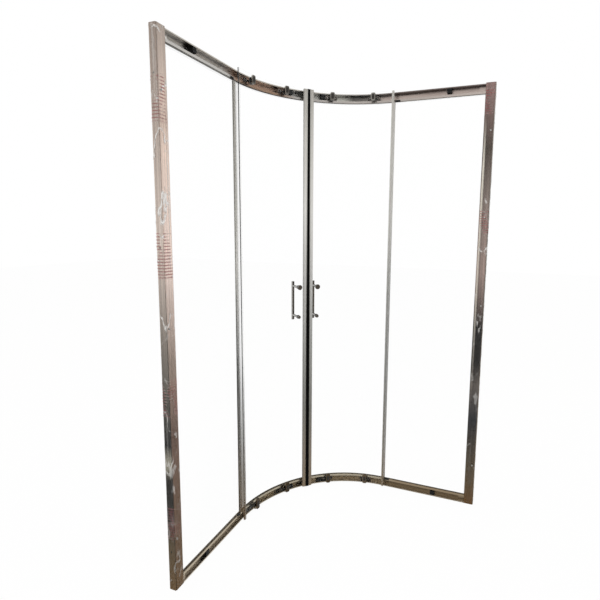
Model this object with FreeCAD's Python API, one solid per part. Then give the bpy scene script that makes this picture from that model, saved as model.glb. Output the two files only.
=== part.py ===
import FreeCAD, Part
import math
import os

# Quarter-round corner shower enclosure, in millimetres, standing on z = 0 with +Z up.
# The corner of the room is at (+X, -Y). The left pane stands on x = -HALF, the right pane on y = +HALF.
# Everything is built for the left side and the lower rail, then mirrored to the right side and the upper rail.
# d is the distance from the wall along the left pane, t the distance inward from the outline,
# w the height above the floor (or the depth below the top for mirrored pieces), a the distance along a tangent.

os.makedirs("parts", exist_ok=True)

V = FreeCAD.Vector

# Outline
WIDTH = 1000.0
HEIGHT = 1950.0
CORNER_R = 550.0
HALF = WIDTH / 2
POST_PROUD = 4.0
TOP = HEIGHT - POST_PROUD
TANGENT = WIDTH - CORNER_R
ARC = V(CORNER_R - HALF, HALF - CORNER_R, 0)

# Clearances
RUNNING = 0.05
FREE = 0.3
STOP_GAP = 0.5
PANE_PLAY = 0.4
SEAL_PLAY = 0.1

# Wall posts
JAMB_T = 30.0
JAMB_D = 42.0
JAMB_BACK = 3.0
JAMB_WALL = 2.0
CROSS_WALL = (24.0, 26.5)
FLANGE_END = CROSS_WALL[0] - FREE
WALL_HOLE_R = 3.0
WALL_HOLE_END = 150.0
WALL_HOLES = [WALL_HOLE_END + k * (HEIGHT - 2 * WALL_HOLE_END) / 3 for k in range(4)]
JAMB_SCREW_END = 200.0
JAMB_SCREWS = (JAMB_SCREW_END, HEIGHT / 2, HEIGHT - JAMB_SCREW_END)
JAMB_SCREW_D = 13.0
JAMB_SCREW_R = 1.8

# Rails
RAIL_OUT = 2.0
RAIL_IN = 30.0
RAIL_H = 42.0
RAIL_WALL = 2.0
CHANNEL_BACK = 5.0
LIP_W = 5.0
LEDGE = (32.0, 34.0)
EDGE_R = 1.2
PORT_T = 9.0
PORT_HALF = 4.0
PORT_LEVELS = (9.0, 25.0)
PORT_R = 2.0
PORT_DEPTH = 24.0
PORT_END = JAMB_D + PORT_DEPTH + 2 * PORT_R

# Fixed panes and their seals
PANE = 5.0
PANE_OUT = 22.0
PANE_START = CROSS_WALL[1] + 1.5
PANE_END = TANGENT - 3.0
SLOT = (PANE_OUT - PANE_PLAY, PANE_OUT + PANE + PANE_PLAY)
SEAL_SKIN = 1.4
SEAL_LEG = 8.0
SEAL_END = 3.0
FIXED_LIP = 36.0
CLIP_D = (PANE_END - SEAL_LEG - 24.0, PANE_END - SEAL_LEG - 1.0)
CLIP_T = (RAIL_IN, RAIL_IN + 1.0)
CLIP_W = (RAIL_H - 7.0, RAIL_H + 1.5)

# Doors
DOOR_OUT = 46.5
DOOR_IN = DOOR_OUT + PANE
DOOR_FOOT = 10.0
DOOR_HEAD = 3.0
DOOR_R = CORNER_R - DOOR_OUT - PANE / 2
MIDDLE = 45.0
WASHER = 1.0
WASHER_R = 8.0
GLASS_HOLE_R = 4.5


def turn_of(length):
    """Angle in degrees that a length takes along the door glass."""
    return math.degrees(length / DOOR_R)


MAGNET_GAP = 0.3
MAGNET_BACK = 8.5
GLASS_LEAD = MIDDLE - turn_of(12.0)
MAGNET_LEAD = MIDDLE - turn_of(MAGNET_GAP)
MAGNET_TRAIL = MIDDLE - turn_of(MAGNET_BACK)
CARRIER_TRAIL = MIDDLE - turn_of(24.0)
MAGNET_HALF = 6.0
GLASS_TRAIL = -turn_of(9.0)
SEAL_TRAIL = GLASS_TRAIL - turn_of(SEAL_SKIN)
SEAL_LEAD = 0.0
DOOR_LIP = 33.0
DOOR_LIP_GAP = 2.0

# Handles
HANDLE_TURN = MIDDLE - 5.4
HANDLE_MID = 966.0
HANDLE_SPACING = 145.0
BAR_T = -17.0
BAR_R = 7.5
BAR_LENGTH = 190.0
POST_R = 5.5
POST_FLANGE = (9.0, 4.0)
SPIGOT_R = 4.0
STUD_R = 2.9
STUD_END = 28.0

# Rollers
TRAIL_TURN = 10.0
LEAD_TURN = 32.0
OPEN_D = 235.0
PIN_T = 36.0
PIN_R = 2.5
AXLE_W = 21.0
AXLE_R = 3.0
WHEEL_R = LEDGE[0] - AXLE_W - FREE
WHEEL_PITCH = 18.0
WHEEL_T = (20.3, 28.3)
TRUCK_T = (28.8, 31.8)
TRUCK_HALF = 4.0
LUG_R = 4.5
LUG_W = ((11.0, AXLE_W - TRUCK_HALF - FREE), (AXLE_W + TRUCK_HALF + FREE, 31.0))
PIN_W = (10.6, 31.4)
PLATE_T = 42.5
HANGER_HALF = 10.0
LOW_HANGER_W = (8.0, 44.0)
TOP_HANGER_W = (8.0, 36.0)
LOW_BOLT_W = 37.0
TOP_BOLT_W = AXLE_W
BOLT_R = 3.0
CAP_T = 59.5
CAP_HALF = 10.5
LOW_CAP_W = (12.0, 62.0)
TOP_CAP_W = (1.0, 36.0)
CAP_FLOOR = DOOR_IN + WASHER + 2.0

# Stops in the rails
STOP_HALF = 10.0
STOP_IN = RAIL_IN - RAIL_WALL - FREE
STOP_W = (RAIL_WALL, 24.0)
STOP_REACH = WHEEL_PITCH + WHEEL_R + STOP_GAP + STOP_HALF
CLOSING_TURN = LEAD_TURN + math.degrees(STOP_REACH / (CORNER_R - STOP_IN))
OPENING_D = OPEN_D - STOP_REACH


def outline(points, place):
    """Closed wire through (u, v, corner radius) points, put in space by place(u, v)."""
    corners = []
    count = len(points)
    for i, (u, v, r) in enumerate(points):
        here = V(u, v, 0)
        if r == 0:
            corners.append((here, None, here))
            continue
        back = V(*points[i - 1][:2], 0) - here
        ahead = V(*points[(i + 1) % count][:2], 0) - here
        back.normalize()
        ahead.normalize()
        half = back.getAngle(ahead) / 2
        bisector = back + ahead
        bisector.normalize()
        reach = r / math.tan(half)
        middle = here + bisector * (r / math.sin(half) - r)
        corners.append((here + back * reach, middle, here + ahead * reach))
    edges = []
    for i, (start, middle, end) in enumerate(corners):
        if middle is not None:
            edges.append(Part.Arc(*[place(p.x, p.y) for p in (start, middle, end)]).toShape())
        following = corners[(i + 1) % count][0]
        if (following - end).Length > 1e-6:
            edges.append(Part.makeLine(place(end.x, end.y), place(following.x, following.y)))
    return Part.Wire(edges)


def upright(points, z0, z1):
    """Vertical profile from (t, d, corner radius) points."""
    wire = outline(points, lambda t, d: V(-HALF + t, -HALF + d, z0))
    return Part.Face(wire).extrude(V(0, 0, z1 - z0))


def plate(points, t0, t1):
    """Plate across the tangent's radial direction from (a, w, corner radius) points."""
    wire = outline(points, lambda a, w: V(-HALF + t0, ARC.y + a, w))
    return Part.Face(wire).extrude(V(t1 - t0, 0, 0))


def rectangle(u, v, r=0.0):
    """Corner points of a rectangle with one corner radius."""
    return [(u[0], v[0], r), (u[1], v[0], r), (u[1], v[1], r), (u[0], v[1], r)]


def block(d, t, w):
    """Square block on the left pane's side."""
    return Part.makeBox(t[1] - t[0], d[1] - d[0], w[1] - w[0], V(-HALF + t[0], -HALF + d[0], w[0]))


def turned(points, d, z):
    """Body of revolution about an inward axis at (d, z) from (t, radius, corner radius) points."""
    wire = outline(points, lambda t, r: V(-HALF + t, -HALF + d, z + r))
    return Part.Face(wire).revolve(V(0, -HALF + d, z), V(1, 0, 0), 360)


def spoke(r, t, z, a=0.0):
    """Round bar along the inward direction at the tangent."""
    return Part.makeCylinder(r, t[1] - t[0], V(-HALF + t[0], ARC.y + a, z), V(1, 0, 0))


def standing(r, t, w):
    """Round bar along the vertical at the tangent."""
    return Part.makeCylinder(r, w[1] - w[0], V(-HALF + t, ARC.y, w[0]))


def shell(t, turn, z):
    """Curved wall about the corner's centre, between two depths and two turns from the left tangent."""
    base = V(ARC.x, ARC.y, z[0])
    sweep = turn[1] - turn[0]
    outer = Part.makeCylinder(CORNER_R - t[0], z[1] - z[0], base, V(0, 0, 1), sweep)
    inner = Part.makeCylinder(CORNER_R - t[1], z[1] - z[0], base, V(0, 0, 1), sweep)
    wall = outer.cut(inner)
    wall.rotate(ARC, V(0, 0, 1), 180 - turn[1])
    return wall


def along(shape, turn):
    """Copy of a shape moved round the corner from the left tangent."""
    moved = shape.copy()
    moved.rotate(ARC, V(0, 0, 1), -turn)
    return moved


def over(shape):
    """Mirror image at the upper rail."""
    return shape.mirror(V(0, 0, TOP / 2), V(0, 0, 1))


def across(shape):
    """Mirror image on the other side of the enclosure."""
    return shape.mirror(V(0, 0, 0), V(1, 1, 0))


def joined(first, *others):
    """One clean solid from touching pieces."""
    return first.fuse(list(others)).removeSplitter()


def write(node, *solids):
    """Write one node, as one solid or as a group of solids."""
    shape = solids[0] if len(solids) == 1 else Part.makeCompound(list(solids))
    shape.exportStep(os.path.join("parts", node + ".step"))


def write_sides(node, *solids):
    """Write a node of the left side and its mirror image on the right."""
    write("left_" + node, *solids)
    write("right_" + node, *[across(s) for s in solids])


# Wall profile: a U with its base on the wall and a row of screw holes.
wall_profile = upright(
    [
        (JAMB_WALL, 0, 0),
        (JAMB_T - JAMB_WALL, 0, 0),
        (JAMB_T - JAMB_WALL, FLANGE_END, 0.6),
        (JAMB_T - 2 * JAMB_WALL, FLANGE_END, 0.6),
        (JAMB_T - 2 * JAMB_WALL, JAMB_WALL, 0.8),
        (2 * JAMB_WALL, JAMB_WALL, 0.8),
        (2 * JAMB_WALL, FLANGE_END, 0.6),
        (JAMB_WALL, FLANGE_END, 0.6),
    ],
    0,
    HEIGHT,
)
for level in WALL_HOLES:
    hole = Part.makeCylinder(WALL_HOLE_R, 3 * JAMB_WALL, V(-HALF + JAMB_T / 2, -HALF - JAMB_WALL, level), V(0, 1, 0))
    wall_profile = wall_profile.cut(hole)

# Jamb: slides over the wall profile, with a slot for the fixed pane on its free side.
jamb = upright(rectangle((0, JAMB_T), (JAMB_BACK, JAMB_D), 1.5), 0, HEIGHT)
socket = block((0, CROSS_WALL[0]), (JAMB_WALL, JAMB_T - JAMB_WALL), (0, HEIGHT))
slot = block((CROSS_WALL[1], JAMB_D), SLOT, (0, HEIGHT))
chamber_t = (JAMB_WALL, SLOT[0] - JAMB_WALL)
chamber = block((CROSS_WALL[1], JAMB_D - JAMB_WALL), chamber_t, (0, HEIGHT))
jamb = jamb.cut([socket, slot, chamber])
flange_t = (JAMB_T - 2 * JAMB_WALL, JAMB_T)
jamb_screws = []
for level in JAMB_SCREWS:
    hole = turned(
        [(flange_t[0], 0, 0), (flange_t[1], 0, 0), (flange_t[1], JAMB_SCREW_R + RUNNING, 0),
         (flange_t[0], JAMB_SCREW_R + RUNNING, 0)],
        JAMB_SCREW_D,
        level,
    )
    jamb = jamb.cut(hole)
    wall_profile = wall_profile.cut(hole)
    screw = turned(
        [(flange_t[0] - 2, 0, 0), (JAMB_T + 2.2, 0, 0), (JAMB_T + 2.2, 4.0, 1.2), (JAMB_T, 4.0, 0),
         (JAMB_T, JAMB_SCREW_R, 0), (flange_t[0] - 2, JAMB_SCREW_R, 0)],
        JAMB_SCREW_D,
        level,
    )
    cross = [block((JAMB_SCREW_D - 2.2, JAMB_SCREW_D + 2.2), (JAMB_T + 1, JAMB_T + 3), (level - 0.5, level + 0.5))]
    cross.append(block((JAMB_SCREW_D - 0.5, JAMB_SCREW_D + 0.5), (JAMB_T + 1, JAMB_T + 3), (level - 2.2, level + 2.2)))
    jamb_screws.append(screw.cut(cross))

# Rail screws reach from the jamb's cross wall into the ports at the rails' ends.
rail_screws = []
ports = []
for level in PORT_LEVELS:
    head = Part.makeCylinder(2 * PORT_R, 2, V(-HALF + PORT_T, -HALF + CROSS_WALL[0] - 2, level), V(0, 1, 0))
    reach = JAMB_D + PORT_DEPTH - 2 - CROSS_WALL[0]
    shank = Part.makeCylinder(PORT_R, reach, V(-HALF + PORT_T, -HALF + CROSS_WALL[0], level), V(0, 1, 0))
    rail_screws.append(joined(head, shank))
    start = V(-HALF + PORT_T, -HALF + CROSS_WALL[0], level)
    ports.append(Part.makeCylinder(PORT_R + RUNNING, JAMB_D + PORT_DEPTH - CROSS_WALL[0], start, V(0, 1, 0)))
jamb = jamb.cut(ports + [over(p) for p in ports])
rail_screws += [over(s) for s in rail_screws]
write_sides("wall_profile", wall_profile)
write_sides("jamb", jamb)
write("jamb_screws", *jamb_screws, *[across(s) for s in jamb_screws])
write("rail_screws", *rail_screws, *[across(s) for s in rail_screws])

# Rail: one profile, straight along the left pane, round the corner and straight along the right pane.
rail_points = [
    (RAIL_OUT, 0, EDGE_R),
    (RAIL_IN, 0, EDGE_R),
    (RAIL_IN, LIP_W, 0.6),
    (RAIL_IN - RAIL_WALL, LIP_W, 0.6),
    (RAIL_IN - RAIL_WALL, RAIL_WALL, 0),
    (CHANNEL_BACK, RAIL_WALL, 0),
    (CHANNEL_BACK, LEDGE[0], 0),
    (RAIL_IN, LEDGE[0], 0.6),
    (RAIL_IN, RAIL_H, EDGE_R),
    (SLOT[1], RAIL_H, 0.6),
    (SLOT[1], LEDGE[1], 0),
    (SLOT[0], LEDGE[1], 0),
    (SLOT[0], RAIL_H, 0.6),
    (RAIL_OUT, RAIL_H, EDGE_R),
]
tunnel_points = rectangle((RAIL_OUT + RAIL_WALL, SLOT[0] - RAIL_WALL), (LEDGE[1], RAIL_H - RAIL_WALL), 0.8)


def rail_face(y):
    """Section of the rail with its hollow, across the left pane's direction at y."""
    skin = Part.Face(outline(rail_points, lambda t, w: V(-HALF + t, y, w)))
    return skin.cut(Part.Face(outline(tunnel_points, lambda t, w: V(-HALF + t, y, w)))).Faces[0]


straight = rail_face(-HALF + JAMB_D).extrude(V(0, TANGENT - JAMB_D, 0))
bend = rail_face(ARC.y).revolve(ARC, V(0, 0, -1), 90)
port_block = block((JAMB_D, PORT_END), (CHANNEL_BACK, PORT_T + PORT_HALF), (RAIL_WALL, LEDGE[0]))
end = joined(straight, port_block).cut(ports)
rail = joined(bend, end, across(end))
write("bottom_rail", rail)
write("top_rail", over(rail))

# Fixed pane with the seal on its free edge, and the clips at its free corners.
pane_z = (LEDGE[1], TOP - LEDGE[1] - RAIL_WALL)
fixed_glass = block((PANE_START, PANE_END), (PANE_OUT, PANE_OUT + PANE), pane_z)
write_sides("fixed_glass", fixed_glass)
leg_start = PANE_END - SEAL_LEG
seal_end = PANE_END + SEAL_SKIN
pane_in = PANE_OUT + PANE
fixed_seal = upright(
    [
        (PANE_OUT - SEAL_SKIN, leg_start, 0.5),
        (PANE_OUT, leg_start, 0),
        (PANE_OUT, PANE_END, 0),
        (pane_in, PANE_END, 0),
        (pane_in, leg_start, 0),
        (pane_in + SEAL_SKIN, leg_start, 0.5),
        (pane_in + SEAL_SKIN, PANE_END - 0.6, 1.0),
        (FIXED_LIP, PANE_END + 0.1, 0.4),
        (FIXED_LIP, PANE_END + 1.1, 0.4),
        (pane_in + SEAL_SKIN, seal_end, 0),
        (PANE_OUT - SEAL_SKIN, seal_end, 0.6),
    ],
    RAIL_H + SEAL_END,
    TOP - RAIL_H - SEAL_END,
)
write_sides("fixed_seal", fixed_seal)
clip = joined(block(CLIP_D, CLIP_T, CLIP_W), block(CLIP_D, (pane_in, CLIP_T[1]), (RAIL_H, CLIP_W[1])))
clips = [clip, over(clip)]
write("glass_clips", *clips, *[across(c) for c in clips])

# Stops: blocks in the roller channels with a cross groove on the inner face.
raw_stop = plate(rectangle((-STOP_HALF, STOP_HALF), STOP_W), CHANNEL_BACK - 2, STOP_IN + 2)
groove_w = (STOP_W[0] + STOP_W[1] + LIP_W - RAIL_WALL) / 2
grooves = [
    plate(rectangle((-1, 1), (STOP_W[0], STOP_W[1])), STOP_IN - 1.5, STOP_IN + 3),
    plate(rectangle((-STOP_HALF, STOP_HALF), (groove_w - 1, groove_w + 1)), STOP_IN - 1.5, STOP_IN + 3),
]
curved_room = shell((CHANNEL_BACK, STOP_IN), (-5, 5), STOP_W)
straight_room = block((TANGENT - 2 * STOP_HALF, TANGENT + 2 * STOP_HALF), (CHANNEL_BACK, STOP_IN), STOP_W)
closing_stop = along(raw_stop.common(curved_room).cut(grooves), CLOSING_TURN)
opening_stop = raw_stop.common(straight_room).cut(grooves)
opening_stop.translate(V(0, OPENING_D - TANGENT, 0))
stops = [closing_stop, opening_stop, over(closing_stop), over(opening_stop)]
write("rail_stops", *stops, *[across(s) for s in stops])

# Door glass with holes for the hangers and the handle.
door_z = (DOOR_FOOT, TOP + DOOR_HEAD)
handle_levels = (HANDLE_MID - HANDLE_SPACING / 2, HANDLE_MID + HANDLE_SPACING / 2)
roller_turns = (TRAIL_TURN, LEAD_TURN)
door_glass = shell((DOOR_OUT, DOOR_IN), (GLASS_TRAIL, GLASS_LEAD), door_z)
through_glass = (DOOR_OUT - 5, DOOR_IN + 5)
glass_holes = [along(spoke(GLASS_HOLE_R, through_glass, level), HANDLE_TURN) for level in handle_levels]
for turn in roller_turns:
    low_hole = along(spoke(GLASS_HOLE_R, through_glass, LOW_BOLT_W), turn)
    top_hole = along(spoke(GLASS_HOLE_R, through_glass, TOP_BOLT_W), turn)
    glass_holes += [low_hole, over(top_hole)]
write_sides("door_glass", door_glass.cut(glass_holes))

# Magnet strip and its carrier on the leading edge, seal on the trailing edge.
leg_out = (DOOR_OUT - SEAL_PLAY - SEAL_SKIN, DOOR_OUT - SEAL_PLAY)
leg_in = (DOOR_IN + SEAL_PLAY, DOOR_IN + SEAL_PLAY + SEAL_SKIN)
all_t = (leg_out[0], leg_in[1])
carrier = joined(
    shell(leg_out, (CARRIER_TRAIL, MAGNET_TRAIL), door_z),
    shell(leg_in, (CARRIER_TRAIL, MAGNET_TRAIL), door_z),
    shell(all_t, (GLASS_LEAD, MAGNET_TRAIL), door_z),
)
write_sides("magnet_carrier", carrier)
glass_mid = DOOR_OUT + PANE / 2
magnet = shell((glass_mid - MAGNET_HALF, glass_mid + MAGNET_HALF), (MAGNET_TRAIL, MAGNET_LEAD), door_z)
write_sides("magnet_strip", magnet)
lip_z = (RAIL_H + DOOR_LIP_GAP, TOP - RAIL_H - DOOR_LIP_GAP)
trailing_seal = joined(
    shell(leg_out, (SEAL_TRAIL, SEAL_LEAD), door_z),
    shell(leg_in, (SEAL_TRAIL, SEAL_LEAD), door_z),
    shell(all_t, (SEAL_TRAIL, GLASS_TRAIL), door_z),
    shell((DOOR_LIP, leg_out[0]), (SEAL_TRAIL, GLASS_TRAIL), lip_z),
)
write_sides("trailing_seal", trailing_seal)

# Handle: bar outside, two posts, and knobs inside whose studs pass through the glass into the posts.
bar = standing(BAR_R, BAR_T, (HANDLE_MID - BAR_LENGTH / 2, HANDLE_MID + BAR_LENGTH / 2))
bar_round = bar.copy()
bar = bar.makeFillet(2.0, [e for e in bar.Edges if isinstance(e.Curve, Part.Circle)])
post_end = DOOR_OUT - WASHER
outside = shell((BAR_T - 30, post_end), (-5, 5), (0, HEIGHT))
inside = shell((DOOR_IN + WASHER, CAP_T + 20), (-5, 5), (0, HEIGHT))
posts = []
knobs = []
for level in handle_levels:
    bar = bar.cut(spoke(SPIGOT_R + RUNNING, (BAR_T, BAR_T + 2 * BAR_R), level))
    post = turned(
        [(BAR_T, 0, 0), (post_end + 1, 0, 0), (post_end + 1, POST_FLANGE[0], 0),
         (post_end - POST_FLANGE[1], POST_FLANGE[0], 1.0), (post_end - POST_FLANGE[1], POST_R, 0), (BAR_T, POST_R, 0)],
        TANGENT,
        level,
    )
    post = post.cut(bar_round).common(outside)
    spigot = spoke(SPIGOT_R, (BAR_T + FREE, BAR_T + BAR_R + 3), level)
    bore = spoke(STUD_R + RUNNING, (STUD_END - 3, post_end + 2), level)
    posts.append(along(joined(post, spigot).cut(bore), HANDLE_TURN))
    knob_r = 12.0 if level > HANDLE_MID else 8.0
    knob_in = DOOR_IN + WASHER
    knob_t = knob_in + (13.0 if level > HANDLE_MID else 6.0)
    head = turned(
        [(knob_in - 1, 0, 0), (knob_t, 0, 0), (knob_t, knob_r, 2.0), (knob_t - 5, knob_r, 1.0),
         (knob_t - 5, 7.5, 0), (knob_in - 1, 7.5, 0)],
        TANGENT,
        level,
    )
    stud = spoke(STUD_R, (STUD_END, knob_in + 2), level)
    knobs.append(along(joined(head.common(inside), stud), HANDLE_TURN))
write_sides("handle_bar", along(bar, HANDLE_TURN))
write_sides("handle_posts", *posts)
write_sides("handle_knobs", *knobs)

# Washers on both faces of the glass.
washers = []
for t in ((DOOR_OUT - WASHER, DOOR_OUT), (DOOR_IN, DOOR_IN + WASHER)):
    for z in (LOW_BOLT_W, TOP_BOLT_W, *handle_levels):
        room = shell(t, (-5, 5), (z - 20, z + 20))
        disc = spoke(WASHER_R, (t[0] - 2, t[1] + 2), z)
        hole = spoke(BOLT_R + FREE, (t[0] - 3, t[1] + 3), z)
        washer = disc.cut(hole).common(room)
        if z == LOW_BOLT_W:
            washers += [along(washer, turn) for turn in roller_turns]
        elif z == TOP_BOLT_W:
            washers += [over(along(washer, turn)) for turn in roller_turns]
        else:
            washers.append(along(washer, HANDLE_TURN))
write_sides("glass_gaskets", *washers)

# Hanger: a plate outside the glass with two lugs for the truck's swivel pin, a cap inside the glass,
# and the bolt that clamps them. The lower caps are longer than the upper ones.
lugs = []
for w in LUG_W:
    lugs.append(standing(LUG_R, PIN_T, w))
    lugs.append(plate(rectangle((-LUG_R, LUG_R), w), PIN_T, PLATE_T + 1))


def hanger_set(hanger_w, bolt_w, cap_w):
    """Hanger, cap and bolt whose heights are given from the rail's free edge."""
    hanger = plate(rectangle((-HANGER_HALF, HANGER_HALF), hanger_w, 4.0), PLATE_T, DOOR_OUT + 2)
    hanger = hanger.common(shell((PLATE_T - 2, DOOR_OUT - WASHER), (-5, 5), (0, HEIGHT)))
    hanger = joined(hanger, *lugs)
    pin_hole = standing(PIN_R + RUNNING, PIN_T, hanger_w)
    hanger = hanger.cut([pin_hole, spoke(BOLT_R + RUNNING, (PIN_T, DOOR_OUT), bolt_w)])
    cap = plate(rectangle((-CAP_HALF, CAP_HALF), cap_w, 6.0), DOOR_IN - 2, CAP_T)
    cap = cap.common(shell((DOOR_IN + WASHER, CAP_T + 10), (-5, 5), (0, HEIGHT)))
    face = CAP_T - HALF
    rim = [e for e in cap.Edges if abs(e.BoundBox.XMax - face) < 1e-3 and abs(e.BoundBox.XLength) < 1e-3]
    cap = cap.makeFillet(1.6, rim)
    cap = cap.cut([spoke(BOLT_R + FREE, (DOOR_IN, CAP_T), bolt_w), spoke(5.5, (CAP_FLOOR, CAP_T + 1), bolt_w)])
    bolt = turned(
        [(PLATE_T, 0, 0), (CAP_FLOOR + 3.5, 0, 0), (CAP_FLOOR + 3.5, 5.0, 0.6), (CAP_FLOOR, 5.0, 0),
         (CAP_FLOOR, BOLT_R, 0), (PLATE_T, BOLT_R, 0.4)],
        TANGENT,
        bolt_w,
    )
    hexagon = Part.makePolygon(
        [V(-HALF + CAP_FLOOR + 1, ARC.y + 2.9 * math.cos(math.radians(k)), bolt_w + 2.9 * math.sin(math.radians(k)))
         for k in range(0, 361, 60)]
    )
    return hanger, cap, bolt.cut(Part.Face(hexagon).extrude(V(4, 0, 0)))


low_set = hanger_set(LOW_HANGER_W, LOW_BOLT_W, LOW_CAP_W)
top_set = hanger_set(TOP_HANGER_W, TOP_BOLT_W, TOP_CAP_W)
hangers = []
caps = []
bolts = []
for turn in roller_turns:
    for low, top, group in zip(low_set, top_set, (hangers, caps, bolts)):
        group += [along(low, turn), over(along(top, turn))]
write_sides("hangers", *hangers)
write_sides("hanger_caps", *caps)
write_sides("hanger_bolts", *bolts)

# Truck: a bar with an axle at each end and the swivel pin in the middle; wheel: a tyre with a grooved face.
truck_bar = plate(
    rectangle((-WHEEL_PITCH - TRUCK_HALF, WHEEL_PITCH + TRUCK_HALF), (AXLE_W - TRUCK_HALF, AXLE_W + TRUCK_HALF), 3.9),
    *TRUCK_T,
)
boss_w = (AXLE_W - TRUCK_HALF, AXLE_W + TRUCK_HALF)
truck_parts = [
    plate(rectangle((-TRUCK_HALF, TRUCK_HALF), boss_w), TRUCK_T[1] - 0.5, PIN_T),
    standing(TRUCK_HALF, PIN_T, boss_w),
    standing(PIN_R, PIN_T, PIN_W),
]
for a in (-WHEEL_PITCH, WHEEL_PITCH):
    truck_parts.append(spoke(AXLE_R, (WHEEL_T[0] - 1, TRUCK_T[0] + 0.5), AXLE_W, a))
    truck_parts.append(spoke(AXLE_R + 1.4, (WHEEL_T[0] - 1.5, WHEEL_T[0] - 0.5), AXLE_W, a))
truck = joined(truck_bar, *truck_parts)
wheel = turned(
    [(WHEEL_T[0], AXLE_R + RUNNING, 0), (WHEEL_T[1], AXLE_R + RUNNING, 0), (WHEEL_T[1], 6.0, 0),
     (WHEEL_T[1] - 0.8, 6.0, 0), (WHEEL_T[1] - 0.8, 7.4, 0), (WHEEL_T[1], 7.4, 0), (WHEEL_T[1], WHEEL_R, 1.2),
     (WHEEL_T[0], WHEEL_R, 1.2)],
    TANGENT,
    AXLE_W,
)
for name, turn in (("trailing", TRAIL_TURN), ("leading", LEAD_TURN)):
    for level, place in (("bottom", lambda s: s), ("top", over)):
        write_sides(name + "_" + level + "_truck", place(along(truck, turn)))
        for spot, a in (("rear", -WHEEL_PITCH), ("front", WHEEL_PITCH)):
            shifted = wheel.copy()
            shifted.translate(V(0, a, 0))
            write_sides(name + "_" + level + "_" + spot + "_wheel", place(along(shifted, turn)))
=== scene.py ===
"""Dresses the quarter-round shower cabin for its studio picture.

The frame holds the rigid pieces. This script gives every piece its finish, wraps the posts in the protective film
that they are delivered in, and adds the small parts that the rigid model leaves plain.
"""
import logging
import math
from dataclasses import dataclass, field
from enum import Enum
from typing import Iterable, Optional, Sequence

import bmesh
import bpy
from mathutils import Matrix, Vector, noise


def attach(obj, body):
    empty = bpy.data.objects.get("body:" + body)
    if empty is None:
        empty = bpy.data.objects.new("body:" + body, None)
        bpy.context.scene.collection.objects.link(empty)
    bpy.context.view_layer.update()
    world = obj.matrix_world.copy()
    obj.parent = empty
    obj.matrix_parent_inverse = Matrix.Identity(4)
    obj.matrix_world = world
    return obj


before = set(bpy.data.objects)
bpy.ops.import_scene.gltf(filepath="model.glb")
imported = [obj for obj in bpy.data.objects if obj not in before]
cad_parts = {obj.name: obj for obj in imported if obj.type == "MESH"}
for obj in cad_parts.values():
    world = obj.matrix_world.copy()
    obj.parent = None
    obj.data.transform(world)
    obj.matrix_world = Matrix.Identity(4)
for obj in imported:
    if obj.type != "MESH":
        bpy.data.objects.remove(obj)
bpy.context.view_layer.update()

LOG = logging.getLogger("shower_cabin")

Point = tuple[float, float, float]
Colour = tuple[float, float, float]
Stops = tuple[tuple[float, Colour], ...]
Shares = Sequence[tuple[float, float]]
Reach = tuple[float, float]   # low and high end
Relief = tuple[float, float]  # strength and depth
Socket = bpy.types.NodeSocket
Material = bpy.types.Material

WHITE: Colour = (1.0, 1.0, 1.0)
UP: Point = (0.0, 0.0, 1.0)
NOISE_REACH: Reach = (0.3, 0.7)
CLOUD_REACH: Reach = (0.25, 0.75)
FACING: Reach = (0.6, 0.8)
DEPTH_REACH = 0.06


def grey(tone: float) -> Colour:
    """Neutral colour of a tone."""
    return (tone, tone, tone)


class Side(Enum):
    """The two halves of the cabin, named as the picture shows them."""

    LEFT = "left"
    RIGHT = "right"


class Level(Enum):
    """The two rails."""

    BOTTOM = "bottom"
    TOP = "top"


class Place(Enum):
    """The two roller places of a door, by their turn from the tangent in degrees."""

    TRAILING = 10.0
    LEADING = 32.0


@dataclass(frozen=True)
class Outline:
    """The cabin's plan, in metres."""

    half: float = 0.5
    corner: float = 0.55
    height: float = 1.95
    rail_top: float = 1.946
    rail: float = 0.042
    post: float = 0.042

    @property
    def centre(self) -> tuple[float, float]:
        """Centre of the quarter circle."""
        return (self.corner - self.half, self.half - self.corner)

    def spot(self, turn: float, depth: float, z: float, side: Side = Side.LEFT, along: float = 0.0) -> Vector:
        """Point at a turn round the corner.

        Args:
            turn: degrees from the tangent of the straight pane.
            depth: distance inward from the outline.
            z: height.
            side: half of the cabin.
            along: distance along the tangent, towards the doors' meeting line.

        Returns:
            The point in the row frame.
        """
        cx, cy = self.centre
        x, y = -self.half + depth - cx, along
        a = math.radians(-turn)
        x, y = cx + x * math.cos(a) - y * math.sin(a), cy + x * math.sin(a) + y * math.cos(a)
        return Vector((x, y, z)) if side is Side.LEFT else Vector((-y, -x, z))

    def wall(self, reach: float, depth: float, z: float, side: Side = Side.LEFT) -> Vector:
        """Point on the straight pane's side.

        Args:
            reach: distance from the wall.
            depth: distance inward from the outline.
            z: height.
            side: half of the cabin.

        Returns:
            The point in the row frame.
        """
        x, y = -self.half + depth, -self.half + reach
        return Vector((x, y, z)) if side is Side.LEFT else Vector((-y, -x, z))

    def inward(self, turn: float, side: Side) -> Vector:
        """Unit vector from the outline towards the inside at a turn.

        Args:
            turn: degrees from the tangent of the straight pane.
            side: half of the cabin.

        Returns:
            The vector in the row frame.
        """
        return (self.spot(turn, 1.0, 0.0, side) - self.spot(turn, 0.0, 0.0, side)).normalized()


PLAN = Outline()


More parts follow.
